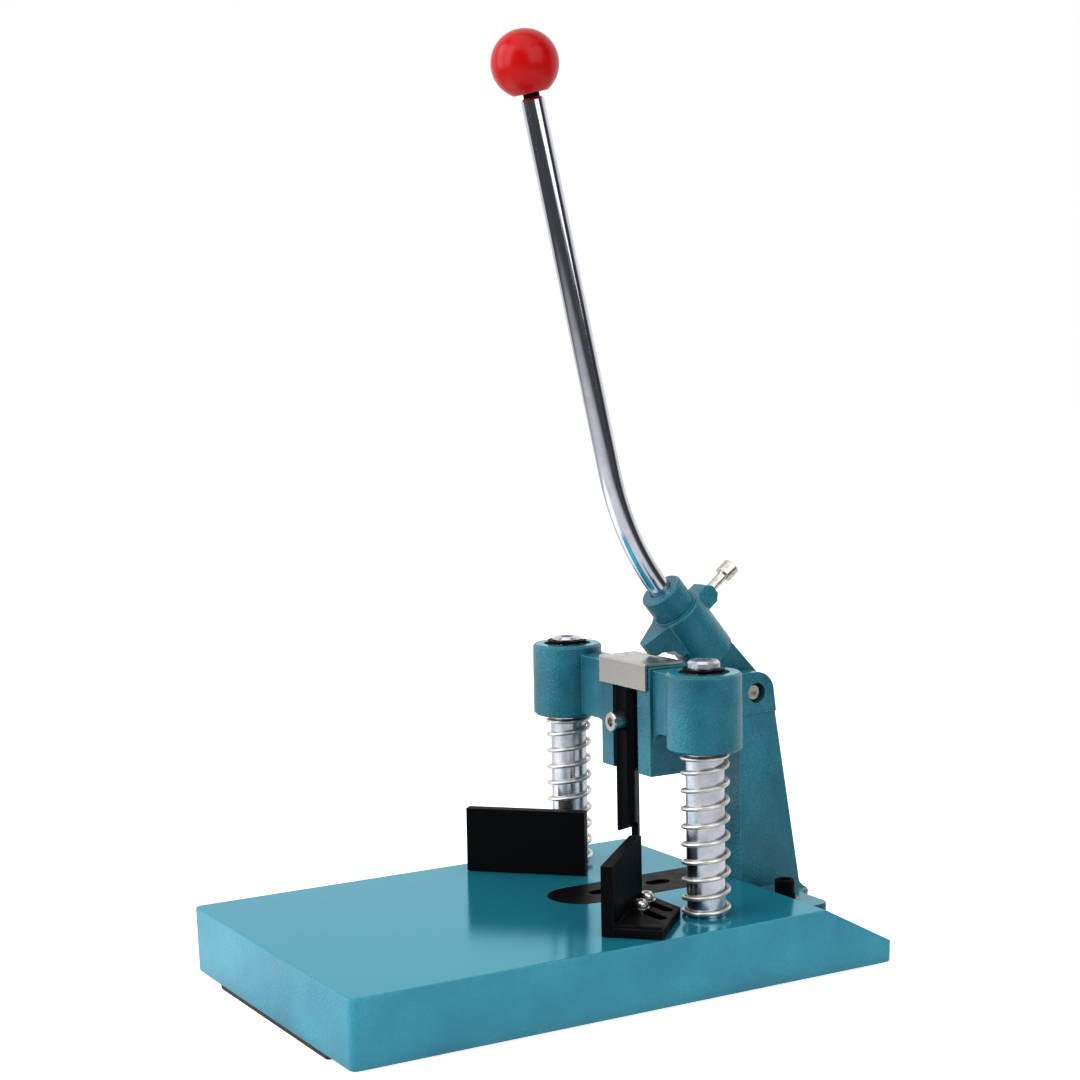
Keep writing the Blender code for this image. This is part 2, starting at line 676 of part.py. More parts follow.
def blade_outline(gap):
    """The square bar's section, corner forward, with the rounding groove in its front corner."""
    half = BLADE_HALF + gap * math.sqrt(2)
    radius = BLADE_GROOVE_RADIUS - gap
    offset = gap * math.sqrt(2)
    reach = offset / math.sqrt(2) + math.sqrt(radius ** 2 - offset ** 2 / 2)
    tip = Vector((reach / math.sqrt(2), reach / math.sqrt(2) - offset))
    angle = math.degrees(math.atan2(tip.y, tip.x))
    groove = arc((0, BLADE_CORNER_Y), radius, 180 - angle, angle, 2 * CORNER_STEPS)
    return groove + [(half, BLADE_Y), (0, BLADE_Y + half), (-half, BLADE_Y)]


def countersunk(head, shank, cone, length, gap=0.0):
    """A countersunk screw below its flush head, or with a gap the hole for it."""
    top = OVERRUN if gap else 0
    tip = -length - gap
    profile = [(0, tip), (shank / 2 + gap, tip), (shank / 2 + gap, -cone), (head / 2 + gap, -gap)]
    if gap:
        profile.append((head / 2 + gap, top))
    return [*profile, (0, top)]


def die_slot_floor():
    return TABLE_TOP - DIE_SLOT_DEPTH


def die_strip():
    """The hardened strip with the hole that the blade enters, and its two screws in sunk slots."""
    strip = prism("die_strip", die_outline(0), DIE_BOTTOM, TABLE_TOP, black_steel())
    hole = prism("blade_hole", blade_outline(DIE_CLEARANCE), DIE_BOTTOM - OVERRUN, TABLE_TOP + OVERRUN,
                 black_steel())
    cut(strip, hole)
    for name, y in die_screw_places():
        slot = rectangle(DIE_SLOT_WIDTH, DIE_SLOT_LENGTH, DIE_SLOT_WIDTH / 2 - SEAT_GAP / 3, (0, y))
        cut(strip, prism(name + "_slot", slot, die_slot_floor(), TABLE_TOP + OVERRUN, black_steel()))
        hole = cylinder_profile(DIE_SCREW_SHANK + 2 * RUNNING_GAP, DIE_BOTTOM - OVERRUN, TABLE_TOP)
        cut(strip, turned(name + "_hole", hole, (0, y, 0), "Z", black_steel(), None, SMALL_SEGMENTS))
        under = die_slot_floor() + SEAT_GAP
        profile = socket_screw_profile(DIE_SCREW_HEAD, DIE_SCREW_HEAD_HEIGHT, DIE_SCREW_SHANK, DIE_SCREW_LENGTH)
        screw = turned(name, profile, (0, y, under), "Z", black_steel(), None, SMALL_SEGMENTS)
        hex_socket(screw, DIE_SCREW_SOCKET, DIE_SCREW_SOCKET_DEPTH, (0, y, under + DIE_SCREW_HEAD_HEIGHT), "Z")


# Posts, rings and springs


def post(name, x, rise):
    """A ground post with a ring groove, a chamfered end and a centre recess."""
    radius = POST_DIAMETER / 2
    end = POST_END_DIAMETER / 2
    groove = end - RING_GROOVE_DEPTH
    top = SLEEVE_TOP + rise
    profile = [
        (0, TABLE_BOTTOM + POST_FOOT_CLEARANCE),
        (radius - POST_CHAMFER, TABLE_BOTTOM + POST_FOOT_CLEARANCE),
        (radius, TABLE_BOTTOM + POST_FOOT_CLEARANCE + POST_CHAMFER),
        (radius, RING_BOTTOM - RUNNING_GAP),
        (groove, RING_BOTTOM - RUNNING_GAP),
        (groove, RING_BOTTOM + RING_THICKNESS + RUNNING_GAP),
        (end, RING_BOTTOM + RING_THICKNESS + RUNNING_GAP),
        (end, top - POST_CHAMFER),
        (end - POST_CHAMFER, top),
        (POST_RECESS / 2, top),
        (POST_RECESS / 2, top - POST_RECESS_DEPTH),
        (0, top - POST_RECESS_DEPTH),
    ]
    turned(name, profile, (x, POST_Y, 0), "Z", chrome())


def ring(name, x):
    """A retaining ring in the post's groove, open at the rear."""
    inner = POST_END_DIAMETER / 2 - RING_GROOVE_DEPTH + RUNNING_GAP
    gap = RING_GAP_ANGLE / 2
    outer_arc = arc((0, 0), RING_OUTER / 2, 90 + gap, 450 - gap, SMALL_SEGMENTS)
    inner_arc = arc((0, 0), inner, 450 - gap, 90 + gap, SMALL_SEGMENTS)
    made = prism(name, outer_arc + inner_arc, 0, RING_THICKNESS, black_steel())
    made.location = (x, POST_Y, RING_BOTTOM)


def spring_heights(turns):
    """The height share of each point along the coil, with closed turns at both ends."""
    fade = lambda distance, closed: min(1, max(0, (distance - closed) / SPRING_EASE_TURNS))
    rates = []
    for turn in turns:
        open_share = min(fade(turn, SPRING_BOTTOM_CLOSED_TURNS),
                         fade(SPRING_TURNS - turn, SPRING_TOP_CLOSED_TURNS))
        rates.append(SPRING_CLOSED_PITCH_SHARE + (1 - SPRING_CLOSED_PITCH_SHARE) * open_share)
    rates = np.array(rates)
    climbed = np.concatenate([[0], np.cumsum((rates[1:] + rates[:-1]) / 2)])
    return climbed / climbed[-1]


def spring_points():
    """Points along one return spring, about its post."""
    radius = (SPRING_OUTER - SPRING_WIRE) / 2
    turns = np.linspace(0, SPRING_TURNS, SPRING_TURNS * SPRING_POINTS_PER_TURN + 1)
    low = TABLE_TOP + SEAT_GAP + SPRING_WIRE / 2
    high = SLEEVE_BOTTOM - SEAT_GAP - SPRING_WIRE / 2
    heights = low + (high - low) * spring_heights(turns)
    angles = 2 * math.pi * turns + math.radians(SPRING_START_ANGLE)
    return np.stack([radius * np.cos(angles), radius * np.sin(angles), heights], axis=1)


def least_gap(points):
    """The least clear distance between turns of the coil."""
    span = SPRING_POINTS_PER_TURN // 2
    apart = np.linalg.norm(points[:, None] - points[None], axis=2)
    rows, columns = np.indices(apart.shape)
    return apart[np.abs(rows - columns) > span].min() - SPRING_WIRE


def bent_bar(name, points, radius, radii, colour, parent):
    """A round bar along points in Y and Z, with a radius share at each point."""
    path = np.array(points)
    steps = np.gradient(path, axis=0)
    steps /= np.linalg.norm(steps, axis=1)[:, None]
    made = bmesh.new()
    rings = []
    for place, step, share in zip(path, steps, radii):
        ring_made = []
        for turn in np.linspace(0, 2 * math.pi, SMALL_SEGMENTS, endpoint=False):
            across = radius * share * math.cos(turn)
            rise = radius * share * math.sin(turn)
            ring_made.append(made.verts.new((across, place[0] + step[1] * rise, place[1] - step[0] * rise)))
        rings.append(ring_made)
    for low, high in zip(rings, rings[1:]):
        for index in range(SMALL_SEGMENTS):
            after = (index + 1) % SMALL_SEGMENTS
            made.faces.new((low[index], low[after], high[after], high[index]))
    made.faces.new(rings[0][::-1])
    made.faces.new(rings[-1])
    return finish(name, made, colour, parent)


def tube(name, points, radius, resolution, colour):
    """A round wire along points, with closed ends."""
    curve = bpy.data.curves.new(name, "CURVE")
    curve.dimensions = "3D"
    curve.bevel_depth = radius
    curve.bevel_resolution = resolution
    curve.use_fill_caps = True
    path = curve.splines.new("POLY")
    path.points.add(len(points) - 1)
    for index, place in enumerate(points):
        path.points[index].co = (*place, 1)
    curve.materials.append(colour)
    made = bpy.data.objects.new(name, curve)
    bpy.context.scene.collection.objects.link(made)
    return made


def guides():
    """Both posts with their rings and springs."""
    points = spring_points()
    print(f"least gap between the spring's turns {least_gap(points) / MM:.2f} mm")
    for side, x, rise in (("right", POST_SPACING / 2, RIGHT_POST_RISE), ("left", -POST_SPACING / 2, LEFT_POST_RISE)):
        post(f"post_{side}", x, rise)
        ring(f"retaining_ring_{side}", x)
        coil = tube(f"spring_{side}", points, SPRING_WIRE / 2, 1, chrome())
        coil.location = (x, POST_Y, 0)


# Sliding head


def slider_head(carrier):
    """Block, webs and sleeves in one casting, with the recess and seat for the blade."""
    depth_centre = BLOCK_FRONT + BLOCK_DEPTH / 2
    head = prism("slider_head", rectangle(BLOCK_WIDTH, BLOCK_DEPTH, 0, (0, depth_centre)),
                 BLOCK_BOTTOM, BLOCK_TOP, enamel(), carrier)
    add_bevel(head, BLOCK_EDGE)
    block_side = BLOCK_WIDTH / 2
    for side, x in (("right", POST_SPACING / 2), ("left", -POST_SPACING / 2)):
        sign = math.copysign(1, x)
        sleeve = turned(f"sleeve_{side}", cylinder_profile(SLEEVE_DIAMETER, SLEEVE_BOTTOM, SLEEVE_TOP, SLEEVE_EDGE),
                        (x, POST_Y, 0), "Z", enamel(), carrier)
        join(head, sleeve)
        web_low = SLEEVE_BOTTOM + WEB_BOTTOM_RISE
        web_high = SLEEVE_TOP - WEB_DROP
        inner = block_side - JOIN
        outline = [(sign * inner, web_high), (sign * inner, web_low - WEB_FILLET),
                   (sign * block_side, web_low - WEB_FILLET)]
        sweep = arc((block_side + WEB_FILLET, web_low - WEB_FILLET), WEB_FILLET, 180, 90, CORNER_STEPS)
        outline += [(sign * px, pz) for px, pz in sweep[1:]]
        outline += [(x - sign * WEB_INSIDE, web_low), (x - sign * WEB_INSIDE, web_high)]
        web = extruded(outline, WEB_FRONT, WEB_FRONT + WEB_THICKNESS)
        for vertex in web.verts:
            vertex.co = (vertex.co.x, vertex.co.z, vertex.co.y)
        join(head, finish(f"web_{side}", web, enamel(), carrier))
        bore = cylinder_profile(bush_outer() + 2 * SEAT_GAP, SLEEVE_BOTTOM - OVERRUN, SLEEVE_TOP + OVERRUN)
        cut(head, turned(f"sleeve_bore_{side}", bore, (x, POST_Y, 0), "Z", enamel(), carrier))
    cut(head, prism("blade_recess", recess_outline(), BLOCK_BOTTOM - OVERRUN, BLOCK_TOP + OVERRUN,
                    enamel(), carrier))
    hole = cylinder_profile(CLAMP_SCREW_SHANK + 2 * RUNNING_GAP, 0, clamp_reach() + SEAT_GAP)
    cut(head, turned("clamp_hole", hole, (0, clamp_seat_y(), CLAMP_SCREW_HEIGHT), "Y", enamel(), carrier,
                     SMALL_SEGMENTS))
    for name, x in plate_screw_places():
        hole = countersunk(PLATE_SCREW_HEAD, PLATE_SCREW_SHANK, PLATE_SCREW_CONE, PLATE_SCREW_LENGTH, RUNNING_GAP)
        cut(head, turned(name + "_hole", hole, (x, plate_screw_y(), PLATE_TOP), "Z", enamel(), carrier,
                         SMALL_SEGMENTS))


def recess_outline():
    """A wide shallow recess with a right-angled seat for the blade's rear corner at its floor."""
    floor = BLOCK_FRONT + RECESS_DEPTH
    corner = BLADE_Y + BLADE_HALF + SEAT_GAP * math.sqrt(2)
    half = RECESS_WIDTH / 2
    mouth = corner - floor
    return [(-half, BLOCK_FRONT - OVERRUN), (half, BLOCK_FRONT - OVERRUN), (half, floor), (mouth, floor),
            (0, corner), (-mouth, floor), (-half, floor)]


def bush_outer():
    return POST_DIAMETER + 2 * RUNNING_GAP + 2 * BUSH_WALL


def guide_bushes(carrier):
    """Bronze bushes inside the sleeves."""
    for side, x in (("right", POST_SPACING / 2), ("left", -POST_SPACING / 2)):
        profile = tube_profile(POST_DIAMETER + 2 * RUNNING_GAP, bush_outer(),
                               SLEEVE_BOTTOM + BUSH_INSET, SLEEVE_TOP - BUSH_INSET)
        turned(f"guide_bush_{side}", profile, (x, POST_Y, 0), "Z", bronze(), carrier)


def clamp_seat_y():
    """Where the clamp screw's head seats on the blade."""
    return BLADE_TIP_Y + CLAMP_SCREW_SEAT_DEPTH


def clamp_reach():
    return CLAMP_SCREW_LENGTH


def blade(carrier):
    """The square bar, with a slanted cutting end and a heel at its rear corner."""
    bar = prism("blade", blade_outline(0), BLADE_HEEL_BOTTOM, PLATE_TOP - PLATE_TAB_HEIGHT - SEAT_GAP,
                black_steel(), carrier)
    slant = (BLADE_EDGE_HIGH - BLADE_EDGE_LOW) / (math.sqrt(2) * BLADE_GROOVE_RADIUS)
    middle = (BLADE_EDGE_HIGH + BLADE_EDGE_LOW) / 2
    reach = BLADE_SIDE
    notch = [(-reach, middle - reach * slant), (reach, middle + reach * slant),
             (reach, BLADE_HEEL_BOTTOM - OVERRUN), (-reach, BLADE_HEEL_BOTTOM - OVERRUN)]
    tool = extruded(notch, BLADE_Y - BLADE_SIDE, BLADE_Y + BLADE_HEEL_SETBACK)
    for vertex in tool.verts:
        vertex.co = (vertex.co.x, vertex.co.z, vertex.co.y)
    cut(bar, finish("blade_notch", tool, black_steel(), carrier))
    place = (0, clamp_seat_y(), CLAMP_SCREW_HEIGHT)
    seat = cylinder_profile(CLAMP_SCREW_HEAD + 2 * RUNNING_GAP, 0, OVERRUN)
    cut(bar, turned("clamp_head_seat", seat, place, "-Y", black_steel(), carrier, SMALL_SEGMENTS))
    through = cylinder_profile(CLAMP_SCREW_SHANK + 2 * RUNNING_GAP, -OVERRUN, CLAMP_SCREW_LENGTH)
    cut(bar, turned("clamp_through_hole", through, place, "Y", black_steel(), carrier, SMALL_SEGMENTS))


def blade_clamp_screw(carrier):
    """The bright socket screw that pulls the blade into its seat."""
    head = CLAMP_SCREW_HEAD / 2
    shank = CLAMP_SCREW_SHANK / 2
    under = SEAT_GAP
    top = under + CLAMP_SCREW_HEAD_LENGTH
    edge = head - CLAMP_SCREW_HEAD / 16
    profile = [(0, -CLAMP_SCREW_LENGTH), (shank, -CLAMP_SCREW_LENGTH), (shank, under), (head, under),
               (head, top - CLAMP_SCREW_HEAD / 16), (edge, top), (0, top)]
    place = (0, clamp_seat_y(), CLAMP_SCREW_HEIGHT)
    screw = turned("blade_clamp_screw", profile, place, "-Y", bright_steel(), carrier, SMALL_SEGMENTS)
    end = (0, clamp_seat_y() - top, CLAMP_SCREW_HEIGHT)
    hex_socket(screw, CLAMP_SCREW_SOCKET, CLAMP_SCREW_SOCKET_DEPTH, end, "-Y", carrier)


def plate_screw_places():
    return (("wear_plate_screw_right", PLATE_SCREW_SPACING / 2), ("wear_plate_screw_left", -PLATE_SCREW_SPACING / 2))


def plate_screw_y():
    return BLOCK_FRONT + PLATE_SCREW_INSET


def wear_plate(carrier):
    """The bent bright plate over the block's top and front, with its two screws."""
    front = BLOCK_FRONT - SEAT_GAP - PLATE_THICKNESS
    under = PLATE_TOP - PLATE_THICKNESS
    bottom = PLATE_TOP - PLATE_TAB_HEIGHT
    rear = front + PLATE_DEPTH
    outline = [(front, bottom), (front + PLATE_THICKNESS, bottom), (front + PLATE_THICKNESS, under),
               (rear, under), (rear, PLATE_TOP)]
    outline += arc((front + PLATE_BEND, PLATE_TOP - PLATE_BEND), PLATE_BEND, 90, 180, CORNER_STEPS)
    plate = side_prism("wear_plate", outline, PLATE_WIDTH, bright_steel(), carrier)
    for name, x in plate_screw_places():
        place = (x, plate_screw_y(), PLATE_TOP)
        sizes = (PLATE_SCREW_HEAD, PLATE_SCREW_SHANK, PLATE_SCREW_CONE, PLATE_SCREW_LENGTH)
        cut(plate, turned(name + "_sink", countersunk(*sizes, RUNNING_GAP), place, "Z", bright_steel(),
                          carrier, SMALL_SEGMENTS))
        turned(name, countersunk(*sizes), place, "Z", bright_steel(), carrier, SMALL_SEGMENTS)


# Column


def column_plan():
    """The foot's plan: a bar with the two screw lugs and the pad under the column."""
    lug = LUG_SPAN / 2
    pad = FOOT_WIDTH / 2
    rear = TABLE_REAR - FOOT_REAR_INSET
    corners = [(-lug, COLUMN_FRONT), (lug, COLUMN_FRONT), (lug, LUG_REAR), (pad, LUG_REAR), (pad, rear),
               (-pad, rear), (-pad, LUG_REAR), (-lug, LUG_REAR)]
    return rounded(corners, [0, 0, LUG_CORNER, FOOT_CORNER, FOOT_CORNER, FOOT_CORNER, FOOT_CORNER, LUG_CORNER])


def rear_edge(height):
    """Where the column's sloping rear edge lies at a height."""
    share = (height - FOOT_TOP) / (PIVOT_Z - FOOT_TOP)
    return COLUMN_FOOT_REAR + (COLUMN_TOP_REAR - COLUMN_FOOT_REAR) * share


def column():
    """The cast column: foot with lugs, flared root, tapering body and two ears."""
    made = prism("column", column_plan(), SEAT_LEVEL + SEAT_GAP, FOOT_TOP, enamel())
    add_bevel(made, TABLE_EDGE)
    step = PIVOT_Z - EAR_STEP_DROP
    body_front = COLUMN_FRONT + BODY_STEP
    body = [(body_front, FOOT_TOP - JOIN), (rear_edge(FOOT_TOP - JOIN) - BODY_STEP, FOOT_TOP - JOIN),
            (rear_edge(step + JOIN) - BODY_STEP, step + JOIN), (body_front, step + JOIN)]
    join(made, side_prism("column_body", body, COLUMN_WIDTH - 2 * EAR_STEP, enamel()))
    flare_rear = rear_edge(FOOT_TOP)
    flare_front = COLUMN_FRONT + 2 * BODY_STEP
    low = [(-COLUMN_WIDTH / 2 - FLARE_WIDTH, flare_front), (COLUMN_WIDTH / 2 + FLARE_WIDTH, flare_front),
           (COLUMN_WIDTH / 2 + FLARE_WIDTH, flare_rear + FLARE_WIDTH / 3),
           (-COLUMN_WIDTH / 2 - FLARE_WIDTH, flare_rear + FLARE_WIDTH / 3)]
    narrow = COLUMN_WIDTH / 2 - 2 * EAR_STEP
    high = [(-narrow, flare_front), (narrow, flare_front),
            (narrow, rear_edge(FOOT_TOP + FLARE_HEIGHT) - EAR_STEP),
            (-narrow, rear_edge(FOOT_TOP + FLARE_HEIGHT) - EAR_STEP)]
    join(made, prism("column_flare", low, FOOT_TOP - JOIN, FOOT_TOP + FLARE_HEIGHT, enamel(), None, high))
    ear_top = PIVOT_Z + EAR_RADIUS
    ears = [(COLUMN_FRONT, step), (rear_edge(step), step)]
    ears += arc((PIVOT_Y, PIVOT_Z), EAR_RADIUS, 0, 90, 2 * CORNER_STEPS)
    ears += [(COLUMN_FRONT, ear_top)]
    join(made, side_prism("column_ears", ears, COLUMN_WIDTH, enamel()))
    slot_floor = PIVOT_Z - EYE_RADIUS - SLOT_FLOOR_GAP
    slot_depth = 2 * (PIVOT_Y - COLUMN_FRONT + OVERRUN)
    slot = rectangle(TONGUE_WIDTH + 2 * TONGUE_SIDE_GAP, 2 * slot_depth, 0, (0, PIVOT_Y))
    cut(made, prism("tongue_slot", slot, slot_floor, ear_top + OVERRUN, enamel()))
    hole = cylinder_profile(PIN_DIAMETER + 2 * RUNNING_GAP, -COLUMN_WIDTH, COLUMN_WIDTH)
    cut(made, turned("pin_hole", hole, (0, PIVOT_Y, PIVOT_Z), "X", enamel(), None, SMALL_SEGMENTS))
    for side, axis, x in (("right", "X", COLUMN_WIDTH / 2), ("left", "-X", -COLUMN_WIDTH / 2)):
        bore = cylinder_profile(PIVOT_COUNTERBORE, -PIVOT_COUNTERBORE_DEPTH, OVERRUN)
        cut(made, turned(f"pin_counterbore_{side}", bore, (x, PIVOT_Y, PIVOT_Z), axis, enamel(), None,
                         SMALL_SEGMENTS))
        screw_hole = cylinder_profile(COLUMN_SCREW_SHANK + 2 * RUNNING_GAP, TABLE_BOTTOM, FOOT_TOP + OVERRUN)
        place = (math.copysign(COLUMN_SCREW_SPACING / 2, x), COLUMN_FRONT + COLUMN_SCREW_INSET, 0)
        cut(made, turned(f"lug_hole_{side}", screw_hole, place, "Z", enamel(), None, SMALL_SEGMENTS))


def socket_screw_profile(head, head_height, shank, length):
    """A cap screw from its tip up, with the underside of its head at height zero."""
    edge = head / 20
    return [(0, -length), (shank / 2, -length), (shank / 2, 0), (head / 2, 0), (head / 2, head_height - edge),
            (head / 2 - edge, head_height), (0, head_height)]


def column_screws():
    """Cap screws with a spring washer and a flat washer on each lug."""
    inner = COLUMN_SCREW_SHANK + 2 * RUNNING_GAP
    for side, x in (("right", COLUMN_SCREW_SPACING / 2), ("left", -COLUMN_SCREW_SPACING / 2)):
        y = COLUMN_FRONT + COLUMN_SCREW_INSET
        flat = FOOT_TOP + SEAT_GAP
        turned(f"column_flat_washer_{side}", tube_profile(inner, FLAT_WASHER_OUTER, 0, FLAT_WASHER_THICKNESS),
               (x, y, flat), "Z", bright_steel(), None, SMALL_SEGMENTS)
        sprung = flat + FLAT_WASHER_THICKNESS + SEAT_GAP
        turned(f"column_spring_washer_{side}", tube_profile(inner, SPRING_WASHER_OUTER, 0, SPRING_WASHER_THICKNESS),
               (x, y, sprung), "Z", black_steel(), None, SMALL_SEGMENTS)
        under = sprung + SPRING_WASHER_THICKNESS + SEAT_GAP
        profile = socket_screw_profile(COLUMN_SCREW_HEAD, COLUMN_SCREW_HEAD_HEIGHT, COLUMN_SCREW_SHANK,
                                       COLUMN_SCREW_REACH)
        screw = turned(f"column_screw_{side}", profile, (x, y, under), "Z", black_steel(), None, SMALL_SEGMENTS)
        hex_socket(screw, COLUMN_SCREW_SOCKET, COLUMN_SCREW_SOCKET_DEPTH,
                   (x, y, under + COLUMN_SCREW_HEAD_HEIGHT), "Z")


def pivot():
    """The pin through ears and eye, held by a screw at each end."""
    half = COLUMN_WIDTH / 2 - PIVOT_COUNTERBORE_DEPTH
    place = (0, PIVOT_Y, PIVOT_Z)
    pin = turned("pivot_pin", cylinder_profile(PIN_DIAMETER, -half, half), place, "X", chrome(), None,
                 SMALL_SEGMENTS)
    for side, axis, x in (("right", "X", half), ("left", "-X", -half)):
        tap = cylinder_profile(PIVOT_SCREW_SHANK + 2 * RUNNING_GAP, -PIVOT_SCREW_LENGTH - SEAT_GAP, OVERRUN)
        cut(pin, turned(f"pin_tap_{side}", tap, (x, PIVOT_Y, PIVOT_Z), axis, chrome(), None, SMALL_SEGMENTS))
        seat = (x + math.copysign(SEAT_GAP, x), PIVOT_Y, PIVOT_Z)
        profile = socket_screw_profile(PIVOT_SCREW_HEAD, PIVOT_SCREW_HEAD_LENGTH, PIVOT_SCREW_SHANK,
                                       PIVOT_SCREW_LENGTH)
        screw = turned(f"pivot_screw_{side}", profile, seat, axis, bright_steel(), None, SMALL_SEGMENTS)
        end = (x + math.copysign(SEAT_GAP + PIVOT_SCREW_HEAD_LENGTH, x), PIVOT_Y, PIVOT_Z)
        hex_socket(screw, PIVOT_SCREW_SOCKET, PIVOT_SCREW_SOCKET_DEPTH, end, axis)


# Lever, in the frame of its pivot: Z along the rod's lower part, Y to the rear


def nose(lever):
    """The pressing nose: a plan that narrows forward to a round tip, over an arched underside."""
    centre = (-NOSE_CENTRE_REACH, NOSE_HEIGHT)
    top = BODY_TOP
    side = [(OVERRUN, top), (-NOSE_REACH - JOIN, top)]
    side += [(-NOSE_REACH - JOIN, NOSE_HEIGHT)]
    side += arc(centre, NOSE_TIP_RADIUS, NOSE_ARC_START, NOSE_ARC_END, 2 * CORNER_STEPS)
    side += [(-NOSE_ARCH_REACH, NOSE_ARCH_HEIGHT), (-NOSE_ROOT_REACH, NOSE_ROOT_HEIGHT), (0, NOSE_ROOT_HEIGHT)]
    made = side_prism("nose", side, 2 * BODY_DIAMETER, enamel(), lever)
    root = NOSE_ROOT_HALF_WIDTH
    tip = NOSE_TIP_HALF_WIDTH
    corners = [(-root, -NOSE_INNER_REACH), (-root, -NOSE_SHOULDER), (-tip, -NOSE_REACH), (tip, -NOSE_REACH),
               (root, -NOSE_SHOULDER), (root, -NOSE_INNER_REACH)]
    plan = rounded(corners, [0, 0, NOSE_TIP_CORNER, NOSE_TIP_CORNER, 0, 0])
    tool = prism("nose_plan", plan, 0, BODY_TOP + OVERRUN, enamel(), lever)
    boolean(made, tool, "INTERSECT")
    return made


def lock_lug(lever):
    """The chamfered lug that carries the lock screw."""
    top = BODY_TOP - BODY_EDGE
    side = [(0, top), (LUG_REACH - LUG_TOP_CHAMFER, top), (LUG_REACH, top - LUG_TOP_CHAMFER),
            (LUG_REACH, top - LUG_HEIGHT + LUG_LOW_CHAMFER), (LUG_REACH - LUG_LOW_CHAMFER, top - LUG_HEIGHT),
            (0, top - LUG_HEIGHT)]
    made = side_prism("lock_lug", side, LUG_WIDTH, enamel(), lever)
    return add_bevel(made, BODY_EDGE)


def lever_head(lever):
    """The cast head: eye and tongue in the column's fork, body, rod socket, nose and lug."""
    body = cylinder_profile(BODY_DIAMETER, BODY_START, BODY_TOP, BODY_EDGE)
    head = turned("lever_head", body, (0, 0, 0), "Z", enamel(), lever)
    socket = cylinder_profile(SOCKET_DIAMETER, BODY_TOP - JOIN, SOCKET_TOP, SOCKET_EDGE)
    join(head, turned("rod_socket", socket, (0, 0, 0), "Z", enamel(), lever))
    tongue = [(-EYE_RADIUS, BODY_START + JOIN)]
    tongue += arc((0, 0), EYE_RADIUS, 180, 360, 3 * CORNER_STEPS)
    tongue += [(EYE_RADIUS, TONGUE_REAR_START), (TONGUE_REAR, BODY_START + JOIN)]
    join(head, side_prism("tongue", tongue, TONGUE_WIDTH, enamel(), lever))
    join(head, nose(lever))
    join(head, lock_lug(lever))
    bore = cylinder_profile(ROD_DIAMETER + 2 * RUNNING_GAP, ROD_DEPTH - SEAT_GAP, SOCKET_TOP + OVERRUN)
    cut(head, turned("rod_bore", bore, (0, 0, 0), "Z", enamel(), lever))
    eye = cylinder_profile(PIN_DIAMETER + 2 * RUNNING_GAP, -COLUMN_WIDTH, COLUMN_WIDTH)
    cut(head, turned("eye_hole", eye, (0, 0, 0), "X", enamel(), lever, SMALL_SEGMENTS))
    hole = cylinder_profile(LOCK_SCREW_SHANK + 2 * RUNNING_GAP, 0, LUG_REACH + OVERRUN)
    cut(head, turned("lock_hole", hole, (0, 0, BODY_TOP - LOCK_SCREW_DROP), "Y", enamel(), lever, SMALL_SEGMENTS))


def rod_lock_screw(lever):
    """The bright screw in the lug, its tip just short of the rod."""
    tip = ROD_DIAMETER / 2 + SEAT_GAP
    length = LOCK_SCREW_HEAD_START - tip
    height = BODY_TOP - LOCK_SCREW_DROP
    profile = socket_screw_profile(LOCK_SCREW_HEAD, LOCK_SCREW_HEAD_LENGTH, LOCK_SCREW_SHANK, length)
    screw = turned("rod_lock_screw", profile, (0, LOCK_SCREW_HEAD_START, height), "Y", bright_steel(), lever,
                   SMALL_SEGMENTS)
    end = (0, LOCK_SCREW_HEAD_START + LOCK_SCREW_HEAD_LENGTH, height)
    hex_socket(screw, LOCK_SCREW_SOCKET, LOCK_SCREW_SOCKET_DEPTH, end, "Y", lever)


def rod_path():
    """Points in Y and Z up to the rod's upper end, and the direction there."""
    bend = math.radians(LEVER_LEAN - ROD_UPPER_LEAN)
    tangent = ROD_BEND_RADIUS * math.tan(bend / 2)
    start = ROD_KNEE - tangent
    points = [(0, ROD_DEPTH), (0, start)]
    for step in range(1, ROD_BEND_STEPS + 1):
        angle = bend * step / ROD_BEND_STEPS
        points.append((ROD_BEND_RADIUS * (1 - math.cos(angle)), start + ROD_BEND_RADIUS * math.sin(angle)))
    return points, (math.sin(bend), math.cos(bend))


def along(direction, distance):
    """The point at a distance past the knee on the rod's upper part."""
    return (direction[0] * distance, ROD_KNEE + direction[1] * distance)


def lever_rod(lever):
    """The bent bright rod, chamfered at its top, with a blind hole there for the stud."""
    points, direction = rod_path()
    radius = ROD_DIAMETER / 2
    radii = [1] * len(points)
    for distance, share in ((ROD_UPPER_LENGTH - ROD_CHAMFER, 1), (ROD_UPPER_LENGTH, 1 - ROD_CHAMFER / radius)):
        points.append(along(direction, distance))
        radii.append(share)
    rod = bent_bar("lever_rod", points, radius, radii, chrome(), lever)
    hole = cylinder_profile(STUD_LOWER_DIAMETER + 2 * RUNNING_GAP, -STUD_LOWER_LENGTH - SEAT_GAP, OVERRUN)
    tool = turned("stud_hole", hole, (0, *along(direction, ROD_UPPER_LENGTH)), "Z", chrome(), lever, SMALL_SEGMENTS)
    tool.rotation_euler = upper_turn(direction)
    cut(rod, tool)


def upper_turn(direction):
    """The turn of a piece that stands on the rod's upper part."""
    return (-math.atan2(direction[0], direction[1]), 0, 0)


